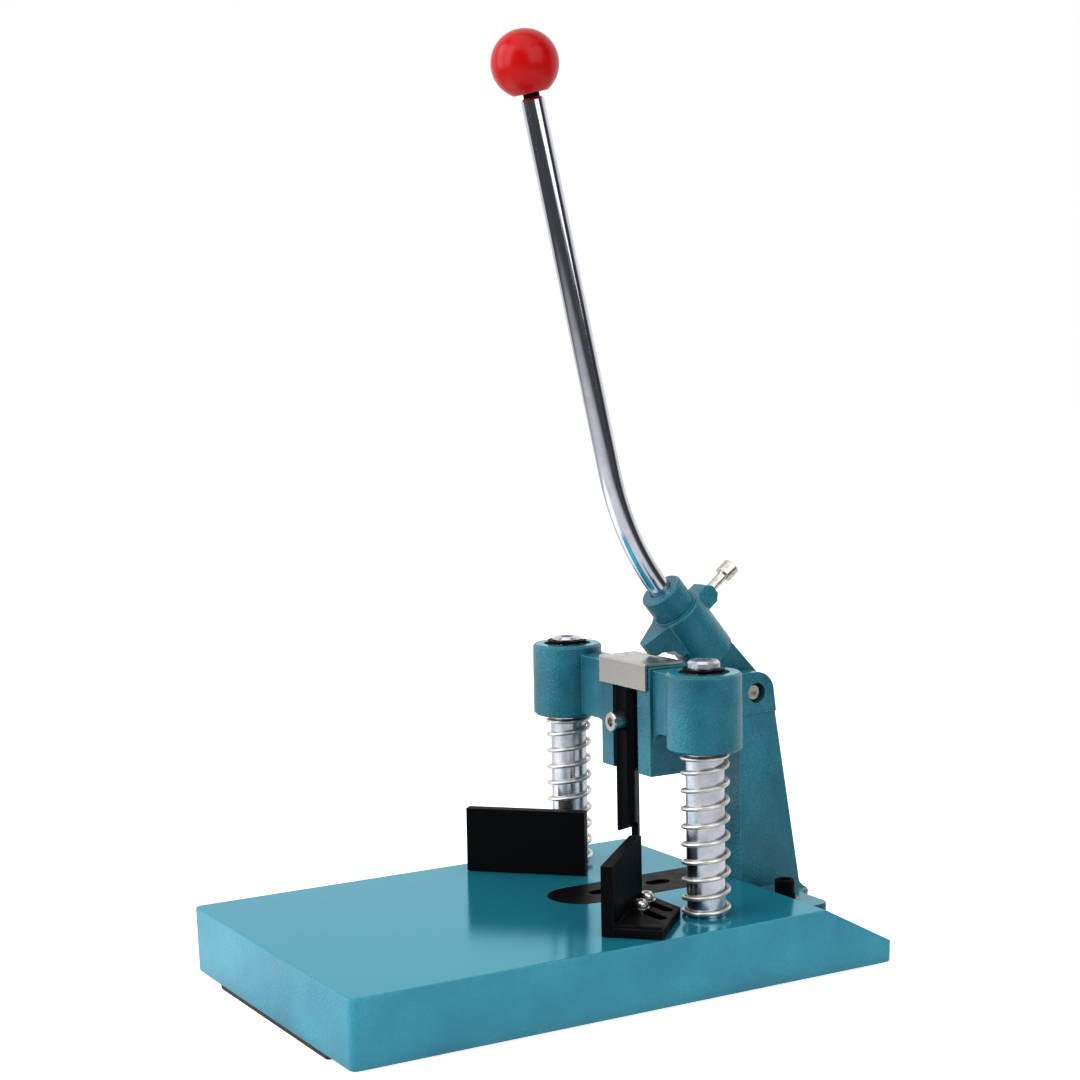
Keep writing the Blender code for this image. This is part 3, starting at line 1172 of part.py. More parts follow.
def knob_stud(lever):
    """The black stud between the rod's end and the ball, seen as a short neck."""
    _, direction = rod_path()
    lower = STUD_LOWER_DIAMETER / 2
    upper = STUD_DIAMETER / 2
    profile = [(0, -STUD_LOWER_LENGTH), (lower, -STUD_LOWER_LENGTH), (lower, SEAT_GAP), (upper, SEAT_GAP),
               (upper, STUD_UPPER_LENGTH), (0, STUD_UPPER_LENGTH)]
    place = (0, *along(direction, ROD_UPPER_LENGTH))
    stud = turned("knob_stud", profile, place, "Z", black_steel(), lever, SMALL_SEGMENTS)
    stud.rotation_euler = upper_turn(direction)


def ball_knob(lever):
    """The ball with a flat and a blind hole where the stud enters."""
    _, direction = rod_path()
    radius = BALL_DIAMETER / 2
    centre = ROD_UPPER_LENGTH + STUD_NECK + BALL_FLAT_DROP
    low = math.degrees(math.asin(-BALL_FLAT_DROP / radius))
    profile = arc((0, 0), radius, low, 90, BALL_STEPS)
    profile[-1] = (0, radius)
    hole = STUD_DIAMETER / 2 + RUNNING_GAP
    floor = STUD_UPPER_LENGTH - STUD_NECK - BALL_FLAT_DROP + SEAT_GAP
    profile = [(0, floor), (hole, floor), (hole, -BALL_FLAT_DROP)] + profile
    y, z = along(direction, centre)
    ball = turned("ball_knob", profile, (0, y, z), "Z", red_plastic(), lever)
    ball.rotation_euler = upper_turn(direction)


# Fences


class Side:
    """One fence's place, and the directions along its wall and out of its back."""

    def __init__(self, name, sign, corner, screws, depth, travel):
        self.name = name
        self.depth = depth
        self.travel = travel
        self.sign = sign
        self.corner = np.array(corner)
        self.screws = screws
        slant = math.sqrt(2) / 2
        self.along = np.array([-sign * slant, slant])
        self.out = np.array([sign * slant, slant])

    def point(self, step, back):
        """A point on the table, from the wall's outer end and its paper face."""
        return tuple(self.corner + step * self.along + back * self.out)


FENCE_SIDES = (
    Side("right", 1, (RIGHT_FENCE_X, RIGHT_FENCE_Y), (RIGHT_FENCE_FRONT_SCREW, RIGHT_FENCE_REAR_SCREW),
         RIGHT_FENCE_FOOT_DEPTH, RIGHT_FENCE_TRAVEL),
    Side("left", -1, (LEFT_FENCE_X, LEFT_FENCE_Y), (LEFT_FENCE_FRONT_SCREW, LEFT_FENCE_REAR_SCREW),
         LEFT_FENCE_FOOT_DEPTH, LEFT_FENCE_TRAVEL),
)


def fence_screw_places():
    """Name and place of each fence screw."""
    back = FENCE_WALL + FENCE_SCREW_SETBACK
    return [(f"fence_{side.name}_screw_{end}", side.point(step, back))
            for side in FENCE_SIDES for end, step in zip(("front", "rear"), side.screws)]


def fence(side):
    """A fence whose foot stops short of the spring and of the table's edge, with slots along X."""
    outline = [side.point(step, back) for step, back in
               ((FENCE_RIM_INSET, JOIN), (FENCE_LENGTH - FENCE_RIM_INSET, JOIN),
                (FENCE_LENGTH - FENCE_RIM_INSET, side.depth), (FENCE_RIM_INSET, side.depth))]
    outline = clipped(outline, (0, 1), FENCE_EDGE_Y)
    wall_points = ((0, 0), (FENCE_LENGTH, 0), (FENCE_LENGTH, FENCE_WALL), (0, FENCE_WALL))
    outline = clipped(outline, (side.sign, 0), TABLE_WIDTH / 2 - FENCE_TABLE_INSET)
    wall_outline = [side.point(step, back) for step, back in wall_points]
    low = FENCE_FOOT_BOTTOM
    carrier = frame(f"fence_{side.name}_slide", (0, 0, 0))
    made = prism(f"fence_{side.name}", wall_outline, low, low + FENCE_HEIGHT, black_steel(), carrier)
    foot = prism(f"fence_{side.name}_foot", outline, low, low + FENCE_FOOT_THICKNESS, black_steel(), carrier)
    join(made, foot)
    rim_start = 2 * FENCE_RIM_INSET
    rim_points = ((rim_start, JOIN), (FENCE_RIM_WIDTH, JOIN), (FENCE_RIM_WIDTH, side.depth - rim_start),
                  (rim_start, side.depth - rim_start))
    rim_outline = clipped([side.point(step, back) for step, back in rim_points], (side.sign, 0),
                          TABLE_WIDTH / 2 - FENCE_TABLE_INSET - FENCE_RIM_INSET)
    rim_top = low + FENCE_FOOT_THICKNESS + FENCE_RIM_HEIGHT
    join(made, prism(f"fence_{side.name}_rim", rim_outline, low + SEAT_GAP, rim_top, black_steel(), carrier))
    for end, step in zip(("front", "rear"), side.screws):
        start = np.array(side.point(step, FENCE_WALL + FENCE_SCREW_SETBACK))
        middle = start + np.array([side.sign * side.travel / 2, 0])
        slot = rectangle(side.travel + FENCE_SLOT_WIDTH, FENCE_SLOT_WIDTH, FENCE_SLOT_WIDTH / 2 - SEAT_GAP / 3,
                         tuple(middle))
        tool = prism(f"fence_{side.name}_slot_{end}", slot, low - OVERRUN,
                     low + FENCE_FOOT_THICKNESS + OVERRUN / 2, black_steel(), carrier)
        cut(made, tool)


def fence_screws():
    """Pan-head screws and washers that clamp the fences through their slots."""
    for name, (x, y) in fence_screw_places():
        washer_low = FENCE_FOOT_BOTTOM + FENCE_FOOT_THICKNESS + SEAT_GAP
        inner = FENCE_SCREW_SHANK + 2 * RUNNING_GAP
        turned(name.replace("screw", "washer"), tube_profile(inner, FENCE_WASHER, 0, FENCE_WASHER_THICKNESS),
               (x, y, washer_low), "Z", bright_steel(), None, SMALL_SEGMENTS)
        under = washer_low + FENCE_WASHER_THICKNESS + SEAT_GAP
        head = FENCE_SCREW_HEAD / 2
        crown = FENCE_SCREW_HEAD_HEIGHT
        length = under - TABLE_TOP + FENCE_SCREW_GRIP
        shank = FENCE_SCREW_SHANK / 2
        profile = [(0, -length), (shank, -length), (shank, 0), (head, 0), (head, FENCE_SCREW_SHOULDER),
                   (head - FENCE_SCREW_CROWN_INSET, crown - FENCE_SCREW_CROWN_DROP),
                   (head - FENCE_SCREW_TOP_INSET, crown), (0, crown)]
        screw = turned(name, profile, (x, y, under), "Z", bright_steel(), None, SMALL_SEGMENTS)
        hex_socket(screw, FENCE_SCREW_SOCKET, FENCE_SCREW_SOCKET_DEPTH, (x, y, under + crown), "Z")


def main():
    for old in list(bpy.data.objects):
        bpy.data.objects.remove(old)
    base_plate()
    rubber_strips()
    die_strip()
    guides()
    column()
    column_screws()
    pivot()
    slider = frame("slider_travel", (0, 0, 0))
    slider_head(slider)
    guide_bushes(slider)
    blade(slider)
    blade_clamp_screw(slider)
    wear_plate(slider)
    lever = frame("lever_pivot", (0, PIVOT_Y, PIVOT_Z))
    lever.rotation_euler = (LEAN, 0, 0)
    lever_head(lever)
    rod_lock_screw(lever)
    lever_rod(lever)
    knob_stud(lever)
    ball_knob(lever)
    for side in FENCE_SIDES:
        fence(side)
    fence_screws()


main()
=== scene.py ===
# %% [markdown]
# # Dressing a corner rounder
# The machine below stands on a white studio floor: an enamelled cast table, two chromed guide posts with
# return springs, a sliding head that carries a black blade, and a bent lever with a red ball. Its solids
# come from the CAD model as a fixed frame. This script gives each of them the surface of the real piece,
# draws the springs, the rod and the ball again as finer surfaces, and sets the light and the camera.

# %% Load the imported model
import json
import math

import bmesh
import bpy
import numpy as np
from mathutils import Matrix, Vector

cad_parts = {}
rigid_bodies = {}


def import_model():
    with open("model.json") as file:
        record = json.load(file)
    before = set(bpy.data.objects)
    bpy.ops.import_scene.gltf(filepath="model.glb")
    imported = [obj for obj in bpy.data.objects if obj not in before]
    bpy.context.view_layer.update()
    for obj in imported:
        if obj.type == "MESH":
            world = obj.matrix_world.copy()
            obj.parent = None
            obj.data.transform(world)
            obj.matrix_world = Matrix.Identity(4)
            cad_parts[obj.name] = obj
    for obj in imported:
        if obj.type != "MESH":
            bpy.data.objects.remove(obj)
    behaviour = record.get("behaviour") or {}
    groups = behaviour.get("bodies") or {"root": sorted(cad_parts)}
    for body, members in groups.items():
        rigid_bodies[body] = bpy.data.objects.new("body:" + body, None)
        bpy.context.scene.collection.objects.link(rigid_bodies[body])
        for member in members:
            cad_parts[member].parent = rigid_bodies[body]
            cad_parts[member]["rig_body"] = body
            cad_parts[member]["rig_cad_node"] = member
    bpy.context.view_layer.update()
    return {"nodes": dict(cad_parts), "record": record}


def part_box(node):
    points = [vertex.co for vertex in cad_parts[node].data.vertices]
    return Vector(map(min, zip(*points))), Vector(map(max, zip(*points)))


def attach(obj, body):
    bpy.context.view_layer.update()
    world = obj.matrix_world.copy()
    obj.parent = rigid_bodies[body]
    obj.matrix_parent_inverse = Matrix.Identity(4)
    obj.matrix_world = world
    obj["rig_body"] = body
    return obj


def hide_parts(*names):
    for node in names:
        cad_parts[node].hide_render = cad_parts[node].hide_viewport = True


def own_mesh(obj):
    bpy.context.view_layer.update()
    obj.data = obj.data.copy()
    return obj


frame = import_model()
MM = 0.001

# %% [markdown]
# ## Colours and nodes
# Paint colours are written as sRGB hex values, because that is how they are read off a paint card, and the
# shader needs linear light. One function turns the first into the second. Another adds a node with its
# settings, its values and its links, so that each material reads as a short recipe. A Mix node has several
# inputs of one name, so they go by number: 0 is the share, 2 and 3 are numbers, 6 and 7 are colours. Noise
# lies mostly between 0.3 and 0.7, so a Map Range node stretches that part to the range that is needed.


# %% Colours from hex values, and one function for every node
def linear(code):
    """sRGB hex to linear red, green, blue and alpha: each channel is ((c + 0.055) / 1.055) ** 2.4."""
    shares = [int(code[i:i + 2], 16) / 255 for i in (1, 3, 5)]
    return [((c + 0.055) / 1.055) ** 2.4 if c > 0.04045 else c / 12.92 for c in shares] + [1.0]


def new_material(name):
    """An empty Principled material and its parts."""
    material = bpy.data.materials.new(name)
    material.use_nodes = True
    return material, material.node_tree, material.node_tree.nodes["Principled BSDF"]


def fill(tree, node, values):
    """Fills a node's inputs: another node's socket is linked, a hex value is a colour, a number stays."""
    for key, value in values.items():
        if isinstance(value, bpy.types.NodeSocket):
            tree.links.new(value, node.inputs[key])
        else:
            node.inputs[key].default_value = linear(value) if isinstance(value, str) else value


def add(tree, kind, values=None, **settings):
    """Adds a node, sets its properties, fills its inputs and gives its outputs."""
    node = tree.nodes.new("ShaderNode" + kind)
    for key, value in settings.items():
        setattr(node, key, value)
    fill(tree, node, values or {})
    return node.outputs


def spots(tree, size, detail=2.0, stretch=(1, 1, 1)):
    """Noise whose spots are about size metres across, over Object coordinates."""
    place = add(tree, "TexCoord")["Object"]
    scaled = add(tree, "Mapping", {"Vector": place, "Scale": stretch})["Vector"]
    return add(tree, "TexNoise", {"Vector": scaled, "Scale": 1 / size, "Detail": detail})["Fac"]


print("teal in linear light", [round(c, 3) for c in linear("#3f8da2")[:3]])

# %% [markdown]
# ## Stove enamel on cast iron
# The castings are sprayed with a blue-green enamel and baked. On the flat table top it flows out and mirrors
# what stands there, in its own tint because of the metal flake in it. On the rough sides it keeps clouds of
# colour and a fine orange peel of about a millimetre. The material tells the two apart by the direction of
# the surface. The faces that point up take one even tone, set as painted light: darker on the table top,
# lighter on the castings. Painted highlights lighten the edges, which a Bevel node finds as it rounds the
# shading, and painted shade darkens the creases, which Ambient Occlusion finds.


# %% The enamel
EDGE_ROUNDING = 0.5 * MM
PAINTED_EDGE_HIGHLIGHT = "#86ccd6"
CREASE_REACH = 14 * MM
PAINTED_CREASE_SHADE = "#0a3b4b"
CLOUD = 35 * MM
PEEL = 0.9 * MM
TOP_GLOSS = 0.36
MIRROR_TINT = "#b8eef8"


def enamel(name, colour, dark, painted_top_tone, top_roughness, side_roughness, side_gloss, flake, peel_height):
    """Baked enamel: flaked gloss on top, clouds and peel on the sides, painted top tone, edge highlights and
    crease shade.
    """
    material, tree, shader = new_material(name)
    shape = add(tree, "NewGeometry")
    upward = add(tree, "SeparateXYZ", {"Vector": shape["Normal"]})["Z"]

    def by_slope(on_sides, on_top):
        """A number that changes from the sides to the flat top."""
        return add(tree, "MapRange", {"Value": upward, "From Min": 0.9, "From Max": 0.98,
                                      "To Min": on_sides, "To Max": on_top})["Result"]

    clouds = add(tree, "MapRange", {"Value": spots(tree, CLOUD, 3.0), "From Min": 0.35,
                                    "From Max": 0.65})["Result"]
    specks = add(tree, "MapRange", {"Value": spots(tree, PEEL, 1.0), "From Min": 0.35, "From Max": 0.7,
                                    "To Max": 0.55})["Result"]
    paint = add(tree, "Mix", {0: clouds, 6: colour, 7: dark}, data_type="RGBA")[2]
    paint = add(tree, "Mix", {0: specks, 6: paint, 7: dark}, data_type="RGBA")[2]
    # Upward faces take one even tone without clouds or specks. This tone is painted light: darker on the
    # table top, lighter on the castings.
    paint = add(tree, "Mix", {0: by_slope(0.0, 1.0), 6: paint, 7: painted_top_tone}, data_type="RGBA")[2]
    # Painted shade: the colour darkens to a deep teal where ambient occlusion finds a crease or corner.
    openness = add(tree, "AmbientOcclusion", {"Distance": CREASE_REACH}, samples=4)["AO"]
    crease = add(tree, "MapRange", {"Value": openness, "From Min": 0.25, "From Max": 0.85,
                                    "To Min": 0.75, "To Max": 0.0})["Result"]
    paint = add(tree, "Mix", {0: crease, 6: paint, 7: PAINTED_CREASE_SHADE}, data_type="RGBA")[2]
    rounded = add(tree, "Bevel", {"Radius": EDGE_ROUNDING}, samples=6)["Normal"]
    # Painted highlight: the colour lightens along the edges, where the rounded normal leaves the true one.
    alike = add(tree, "VectorMath", {0: rounded, 1: shape["True Normal"]}, operation="DOT_PRODUCT")["Value"]
    edge = add(tree, "MapRange", {"Value": alike, "From Min": 0.82, "From Max": 0.97,
                                  "To Min": 0.45, "To Max": 0.0})["Result"]
    paint = add(tree, "Mix", {0: edge, 6: paint, 7: PAINTED_EDGE_HIGHLIGHT}, data_type="RGBA")[2]
    peel = add(tree, "Bump", {"Height": spots(tree, PEEL, 2.0), "Distance": peel_height, "Normal": rounded,
                              "Strength": by_slope(1.0, 0.08)})["Normal"]
    fill(tree, shader, {"Base Color": paint, "Normal": peel, "Specular Tint": MIRROR_TINT,
                        "Metallic": by_slope(0.0, flake),
                        "Roughness": by_slope(side_roughness, top_roughness),
                        "Specular IOR Level": by_slope(side_gloss, TOP_GLOSS)})
    return material


# The third colour of each enamel is the painted light tone of its upward faces.
TABLE_ENAMEL = enamel("stove_enamel_table", "#3095ad", "#1f7e98", "#2692a9", top_roughness=0.12,
                      side_roughness=0.42, side_gloss=0.9, flake=0.43, peel_height=0.3 * MM)
CAST_ENAMEL = enamel("stove_enamel_casting", "#257a8c", "#0b4d61", "#2c8fa1", top_roughness=0.2,
                     side_roughness=0.26, side_gloss=0.6, flake=0.25, peel_height=0.35 * MM)
print("orange peel", round(PEEL / MM, 2), "mm across on", TABLE_ENAMEL.name, "and", CAST_ENAMEL.name)

# %% [markdown]
# ## Chromed and bright steel
# The lever rod is polished and chromed, so it mirrors the studio sharply. The posts are ground before they
# are chromed, and the spring wire is drawn and plated, so both blur what they mirror. The wear plate and the
# screws are bright zinc or stainless steel with a satin grain from rolling or turning. They all keep the
# default index of refraction, and roughness and a fine grain tell them apart.


# %% Chrome and satin steel
WIPING_MARKS = 9 * MM
WIPED_GREY = "#b9bec4"
GRAIN_GREY = "#8f8d89"
ALONG_GRAIN = (1.0, 0.06, 1.0)
GRAIN_DEPTH = 0.01 * MM
TURNED_EDGE = 0.25 * MM


def chrome(name, colour, roughness):
    """Polished plating with faint wiping marks that change its roughness and its grey."""
    material, tree, shader = new_material(name)
    marks = spots(tree, WIPING_MARKS, 4.0)
    blur = add(tree, "MapRange", {"Value": marks, "From Min": 0.3, "From Max": 0.7,
                                  "To Min": roughness, "To Max": roughness * 2.2})["Result"]
    wiped = add(tree, "MapRange", {"Value": marks, "From Min": 0.4, "From Max": 0.8})["Result"]
    grey = add(tree, "Mix", {0: wiped, 6: colour, 7: WIPED_GREY}, data_type="RGBA")[2]
    fill(tree, shader, {"Base Color": grey, "Roughness": blur, "Metallic": 1.0})
    return material


def satin_steel(name, colour, roughness, grain):
    """Rolled or turned steel: fine parallel lines, grain metres apart, as shade, roughness and bump."""
    material, tree, shader = new_material(name)
    lines = spots(tree, grain, 3.0, ALONG_GRAIN)
    blur = add(tree, "MapRange", {"Value": lines, "From Min": 0.3, "From Max": 0.7,
                                  "To Min": roughness * 0.8, "To Max": roughness * 1.3})["Result"]
    grey = add(tree, "Mix", {0: lines, 6: colour, 7: GRAIN_GREY}, data_type="RGBA")[2]
    rounded = add(tree, "Bevel", {"Radius": TURNED_EDGE}, samples=6)["Normal"]
    grooves = add(tree, "Bump", {"Height": lines, "Distance": GRAIN_DEPTH, "Strength": 0.6,
                                 "Normal": rounded})["Normal"]
    fill(tree, shader, {"Base Color": grey, "Roughness": blur, "Normal": grooves, "Metallic": 1.0})
    return material


CHROME = chrome("chrome_plate", "#d2d4df", 0.06)
POST_CHROME = chrome("ground_chrome_post", "#d2d4df", 0.15)
SPRING_STEEL = chrome("plated_spring_wire", "#e4e0d6", 0.26)
SCREW_STEEL = satin_steel("bright_zinc_steel", "#efece4", 0.2, 1.2 * MM)
PLATE_STEEL = satin_steel("rolled_stainless_steel", "#dfdcd5", 0.3, 0.8 * MM)
BRONZE = satin_steel("turned_bronze", "#b8925a", 0.3, 1.0 * MM)
print("wiping marks", round(WIPING_MARKS / MM, 1), "mm across on the plated steel")

# %% [markdown]
# ## Black oxide, rubber and the red ball
# The fences, the blade, the die strip and the foot's screws are blackened steel: nearly black, half matt,
# and worn to grey along the edges. Its gloss is set low, because the black stays black even where it is seen
# almost along the surface. The ball is moulded thermoset, a deep glossy red, and the foot strips are plain
# black rubber.


# %% Black steel, rubber and red plastic
WORN_EDGE = 0.6 * MM
EDGE_WEAR = 0.6
HANDLED_PATCH = 6 * MM
OXIDE_GRAIN = 0.8 * MM
OXIDE_DEPTH = 0.03 * MM
OXIDE_GLOSS = 0.03


def black_oxide(name, colour, worn, roughness):
    """Blackened steel. The worn share grows where the rounded normal leaves the flat one, at the edges."""
    material, tree, shader = new_material(name)
    rounded = add(tree, "Bevel", {"Radius": WORN_EDGE}, samples=6)["Normal"]
    flat = add(tree, "NewGeometry")["Normal"]
    likeness = add(tree, "VectorMath", {0: rounded, 1: flat}, operation="DOT_PRODUCT")["Value"]
    edge = add(tree, "MapRange", {"Value": likeness, "From Min": 0.98, "From Max": 0.8,
                                  "To Max": EDGE_WEAR})["Result"]
    patches = add(tree, "MapRange", {"Value": spots(tree, HANDLED_PATCH, 4.0), "From Min": 0.35,
                                     "From Max": 0.65})["Result"]
    bare = add(tree, "Math", {0: edge, 1: patches}, operation="MULTIPLY")[0]
    black = add(tree, "Mix", {0: bare, 6: colour, 7: worn}, data_type="RGBA")[2]
    blur = add(tree, "MapRange", {"Value": patches, "To Min": roughness,
                                  "To Max": roughness * 1.25})["Result"]
    grain = add(tree, "Bump", {"Height": spots(tree, OXIDE_GRAIN, 2.0), "Distance": OXIDE_DEPTH,
                               "Strength": 0.5, "Normal": rounded})["Normal"]
    fill(tree, shader, {"Base Color": black, "Roughness": blur, "Normal": grain,
                        "Specular IOR Level": OXIDE_GLOSS})
    return material


def moulded(name, colour, shade, roughness, spot, height, gloss):
    """A moulded surface with slow colour drift and a low texture, both in spots of one size."""
    material, tree, shader = new_material(name)
    drift = spots(tree, spot, 2.0)
    share = add(tree, "MapRange", {"Value": drift, "From Min": 0.3, "From Max": 0.7})["Result"]
    body = add(tree, "Mix", {0: share, 6: colour, 7: shade}, data_type="RGBA")[2]
    skin = add(tree, "Bump", {"Height": drift, "Distance": height, "Strength": 0.5})["Normal"]
    fill(tree, shader, {"Base Color": body, "Normal": skin, "Roughness": roughness,
                        "Specular IOR Level": gloss})
    return material


FENCE_BLACK = black_oxide("black_oxide_fence", "#09090b", "#3a3b3e", 0.42)
TOOL_BLACK = black_oxide("black_oxide_tool_steel", "#07080b", "#34363a", 0.36)
RUBBER = moulded("moulded_rubber", "#0b0b0d", "#121214", 0.7, spot=1.5 * MM, height=0.05 * MM, gloss=0.5)
BALL_RED = moulded("red_thermoset", "#b8070a", "#ae0609", 0.24, spot=20 * MM, height=0.004 * MM, gloss=0.2)
print("materials made:", len(bpy.data.materials))

# %% [markdown]
# ## Surfaces with two parameters
# A spring wire, a bent rod and a ball are each one surface with two parameters: how far along, and how far
# round. numpy works out all the points at once, and the faces follow from the grid, so that the shape is
# smooth however closely somebody looks.


# %% Grids of points made into pieces
SAME_POINT = 0.0001 * MM
SHARP_ANGLE = math.radians(40)


def grid_piece(name, points, material):
    """Points of shape (along, round, 3) as one closed mesh: quads between neighbours, a fan at each end."""
    rows, columns = points.shape[:2]
    index = np.arange(rows * columns).reshape(rows, columns)
    after = np.roll(index, -1, axis=1)
    faces = np.stack([index[:-1], after[:-1], after[1:], index[1:]], axis=-1).reshape(-1, 4).tolist()
    middles = [points[0].mean(axis=0), points[-1].mean(axis=0)]
    corners = np.concatenate([points.reshape(-1, 3), middles])
    first, last = rows * columns, rows * columns + 1
    faces += [(a, first, b) for a, b in zip(after[0].tolist(), index[0].tolist())]
    faces += [(a, last, b) for a, b in zip(index[-1].tolist(), after[-1].tolist())]
    mesh = bpy.data.meshes.new(name)
    mesh.from_pydata(corners.tolist(), [], faces)
    mesh.update()
    shape = bmesh.new()
    shape.from_mesh(mesh)
    bmesh.ops.remove_doubles(shape, verts=shape.verts, dist=SAME_POINT)
    bmesh.ops.recalc_face_normals(shape, faces=shape.faces)
    shape.to_mesh(mesh)
    shape.free()
    mesh.shade_smooth()
    mesh.set_sharp_from_angle(angle=SHARP_ANGLE)
    piece = bpy.data.objects.new(name, mesh)
    bpy.context.scene.collection.objects.link(piece)
    piece.data.materials.append(material)
    return piece


def along_path(path, radii, sides, guide=(0.0, 0.0, 1.0)):
    """A tube: each ring is path + radius * (cos a * side + sin a * lift), square to the path's direction."""
    step = np.gradient(path, axis=0)
    step /= np.linalg.norm(step, axis=1)[:, None]
    side = np.cross(step, np.array(guide))
    side /= np.linalg.norm(side, axis=1)[:, None]
    lift = np.cross(side, step)
    angle = np.linspace(0, 2 * np.pi, sides, endpoint=False)
    ring = side[:, None] * np.cos(angle)[None, :, None] + lift[:, None] * np.sin(angle)[None, :, None]
    return path[:, None] + ring * np.asarray(radii)[:, None, None]


def turned_about(profile, place, direction, sides):
    """A turned shape: radius and height pairs swept once round the direction through the place."""
    profile = np.asarray(profile, float)
    upward = np.asarray(direction, float) / np.linalg.norm(direction)
    side = np.cross(upward, [1.0, 0.0, 0.0])
    side /= np.linalg.norm(side)
    front = np.cross(side, upward)
    angle = np.linspace(0, 2 * np.pi, sides, endpoint=False)
    ring = side * np.cos(angle)[:, None] + front * np.sin(angle)[:, None]
    return np.asarray(place) + profile[:, 0, None, None] * ring + profile[:, 1, None, None] * upward


print("edges over", round(math.degrees(SHARP_ANGLE)), "degrees stay sharp")

# %% [markdown]
# ## Return springs
# A compression spring is a right-handed helix whose end turns lie closer together. The height of a point is
# the sum of a climb rate along the wire: full rate in the middle and about a third of it in the end turns,
# with an even change between. The real spring squashes towards the table as the head comes down. Each coil
# here is drawn at rest and fixed to the frame.

# %% The springs
SPRING_TURNS = 10
SPRING_RADIUS = 9.6 * MM
SPRING_BOTTOM = 30.8 * MM
SPRING_TOP = 100.7 * MM
SPRING_START = math.radians(200)
WIRE_RADIUS = 0.9 * MM
WIRE_SIDES = 14
WIRE_END = 0.8
TURNS_CLOSED_BELOW = 0.2
TURNS_CLOSED_ABOVE = 0.8
TURNS_TO_OPEN = 0.6
CLOSED_RATE = 0.31


def helix(samples_per_turn=40):
    """x = r cos a, y = r sin a, and z from the running sum of the climb rate."""
    turn = np.linspace(0, SPRING_TURNS, SPRING_TURNS * samples_per_turn + 1)
    opens_below = np.clip((turn - TURNS_CLOSED_BELOW) / TURNS_TO_OPEN, 0, 1)
    opens_above = np.clip((SPRING_TURNS - turn - TURNS_CLOSED_ABOVE) / TURNS_TO_OPEN, 0, 1)
    rate = CLOSED_RATE + (1 - CLOSED_RATE) * np.minimum(opens_below, opens_above)
    climb = np.concatenate([[0], np.cumsum((rate[1:] + rate[:-1]) / 2)])
    low, high = SPRING_BOTTOM + WIRE_RADIUS, SPRING_TOP - WIRE_RADIUS
    angle = 2 * np.pi * turn + SPRING_START
    height = low + (high - low) * climb / climb[-1]
    return np.stack([SPRING_RADIUS * np.cos(angle), SPRING_RADIUS * np.sin(angle), height], axis=1)


for side in ("right", "left"):
    low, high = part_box(f"post_{side}")
    centre = np.array([(low.x + high.x) / 2, (low.y + high.y) / 2, 0.0])
    wire = helix()
    wire_radii = np.full(len(wire), WIRE_RADIUS)
    wire_radii[[0, -1]] *= WIRE_END
    coil = grid_piece(f"return_coil_{side}", along_path(wire + centre, wire_radii, WIRE_SIDES), SPRING_STEEL)
    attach(coil, "frame")
    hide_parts(f"spring_{side}")
    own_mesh(coil)
    print(coil.name, len(coil.data.polygons), "faces")

# %% [markdown]
# ## Lever rod and ball
# The rod is a 10 mm bar, bent once over a wide former. Its path is a line, an arc and a line, sampled
# closely in the arc only. The ball is turned from its profile: a circle with a flat at the bottom and a
# small bevelled mouth where the stud enters.

# %% The rod
PIVOT = np.array([0.0, 102.4, 114.7]) * MM
LEAN = math.radians(39)
UPPER_LEAN = math.radians(12.6)
ROD_RADIUS = 5 * MM
ROD_SIDES = 48
ROD_FOOT = 27 * MM
ROD_KNEE = 92 * MM
ROD_BEND_RADIUS = 127 * MM
ROD_UPPER = 194.1 * MM
ROD_CHAMFER = 1 * MM
BEFORE_ARC = 2 * MM
ARC_STATIONS = 41
ACROSS = (1.0, 0.0, 0.0)
ALONG = np.array([0.0, -math.sin(LEAN), math.cos(LEAN)])
REARWARD = np.array([0.0, math.cos(LEAN), math.sin(LEAN)])
BEND = LEAN - UPPER_LEAN
tangent = ROD_BEND_RADIUS * math.tan(BEND / 2)
turn = np.linspace(0, BEND, ARC_STATIONS)
arc_along = ROD_KNEE - tangent + ROD_BEND_RADIUS * np.sin(turn)
arc_back = ROD_BEND_RADIUS * (1 - np.cos(turn))
upper = np.array([math.cos(BEND), math.sin(BEND)])
stations = np.array([tangent + (ROD_UPPER - tangent) * 0.3, tangent + (ROD_UPPER - tangent) * 0.7,
                     ROD_UPPER - ROD_CHAMFER, ROD_UPPER])
rod_along = np.concatenate([[ROD_FOOT, ROD_KNEE - tangent - BEFORE_ARC], arc_along,
                            ROD_KNEE + stations * upper[0]])
rod_back = np.concatenate([[0, 0], arc_back, stations * upper[1]])
rod_path = PIVOT + rod_along[:, None] * ALONG + rod_back[:, None] * REARWARD
rod_radii = np.full(len(rod_path), ROD_RADIUS)
rod_radii[-1] -= ROD_CHAMFER
rod = grid_piece("bent_rod", along_path(rod_path, rod_radii, ROD_SIDES, ACROSS), CHROME)
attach(rod, "lever")
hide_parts("lever_rod")
rod_end = rod_path[-1]
rod_direction = upper[0] * ALONG + upper[1] * REARWARD
print("rod ends at", np.round(rod_end / MM, 1), "mm")

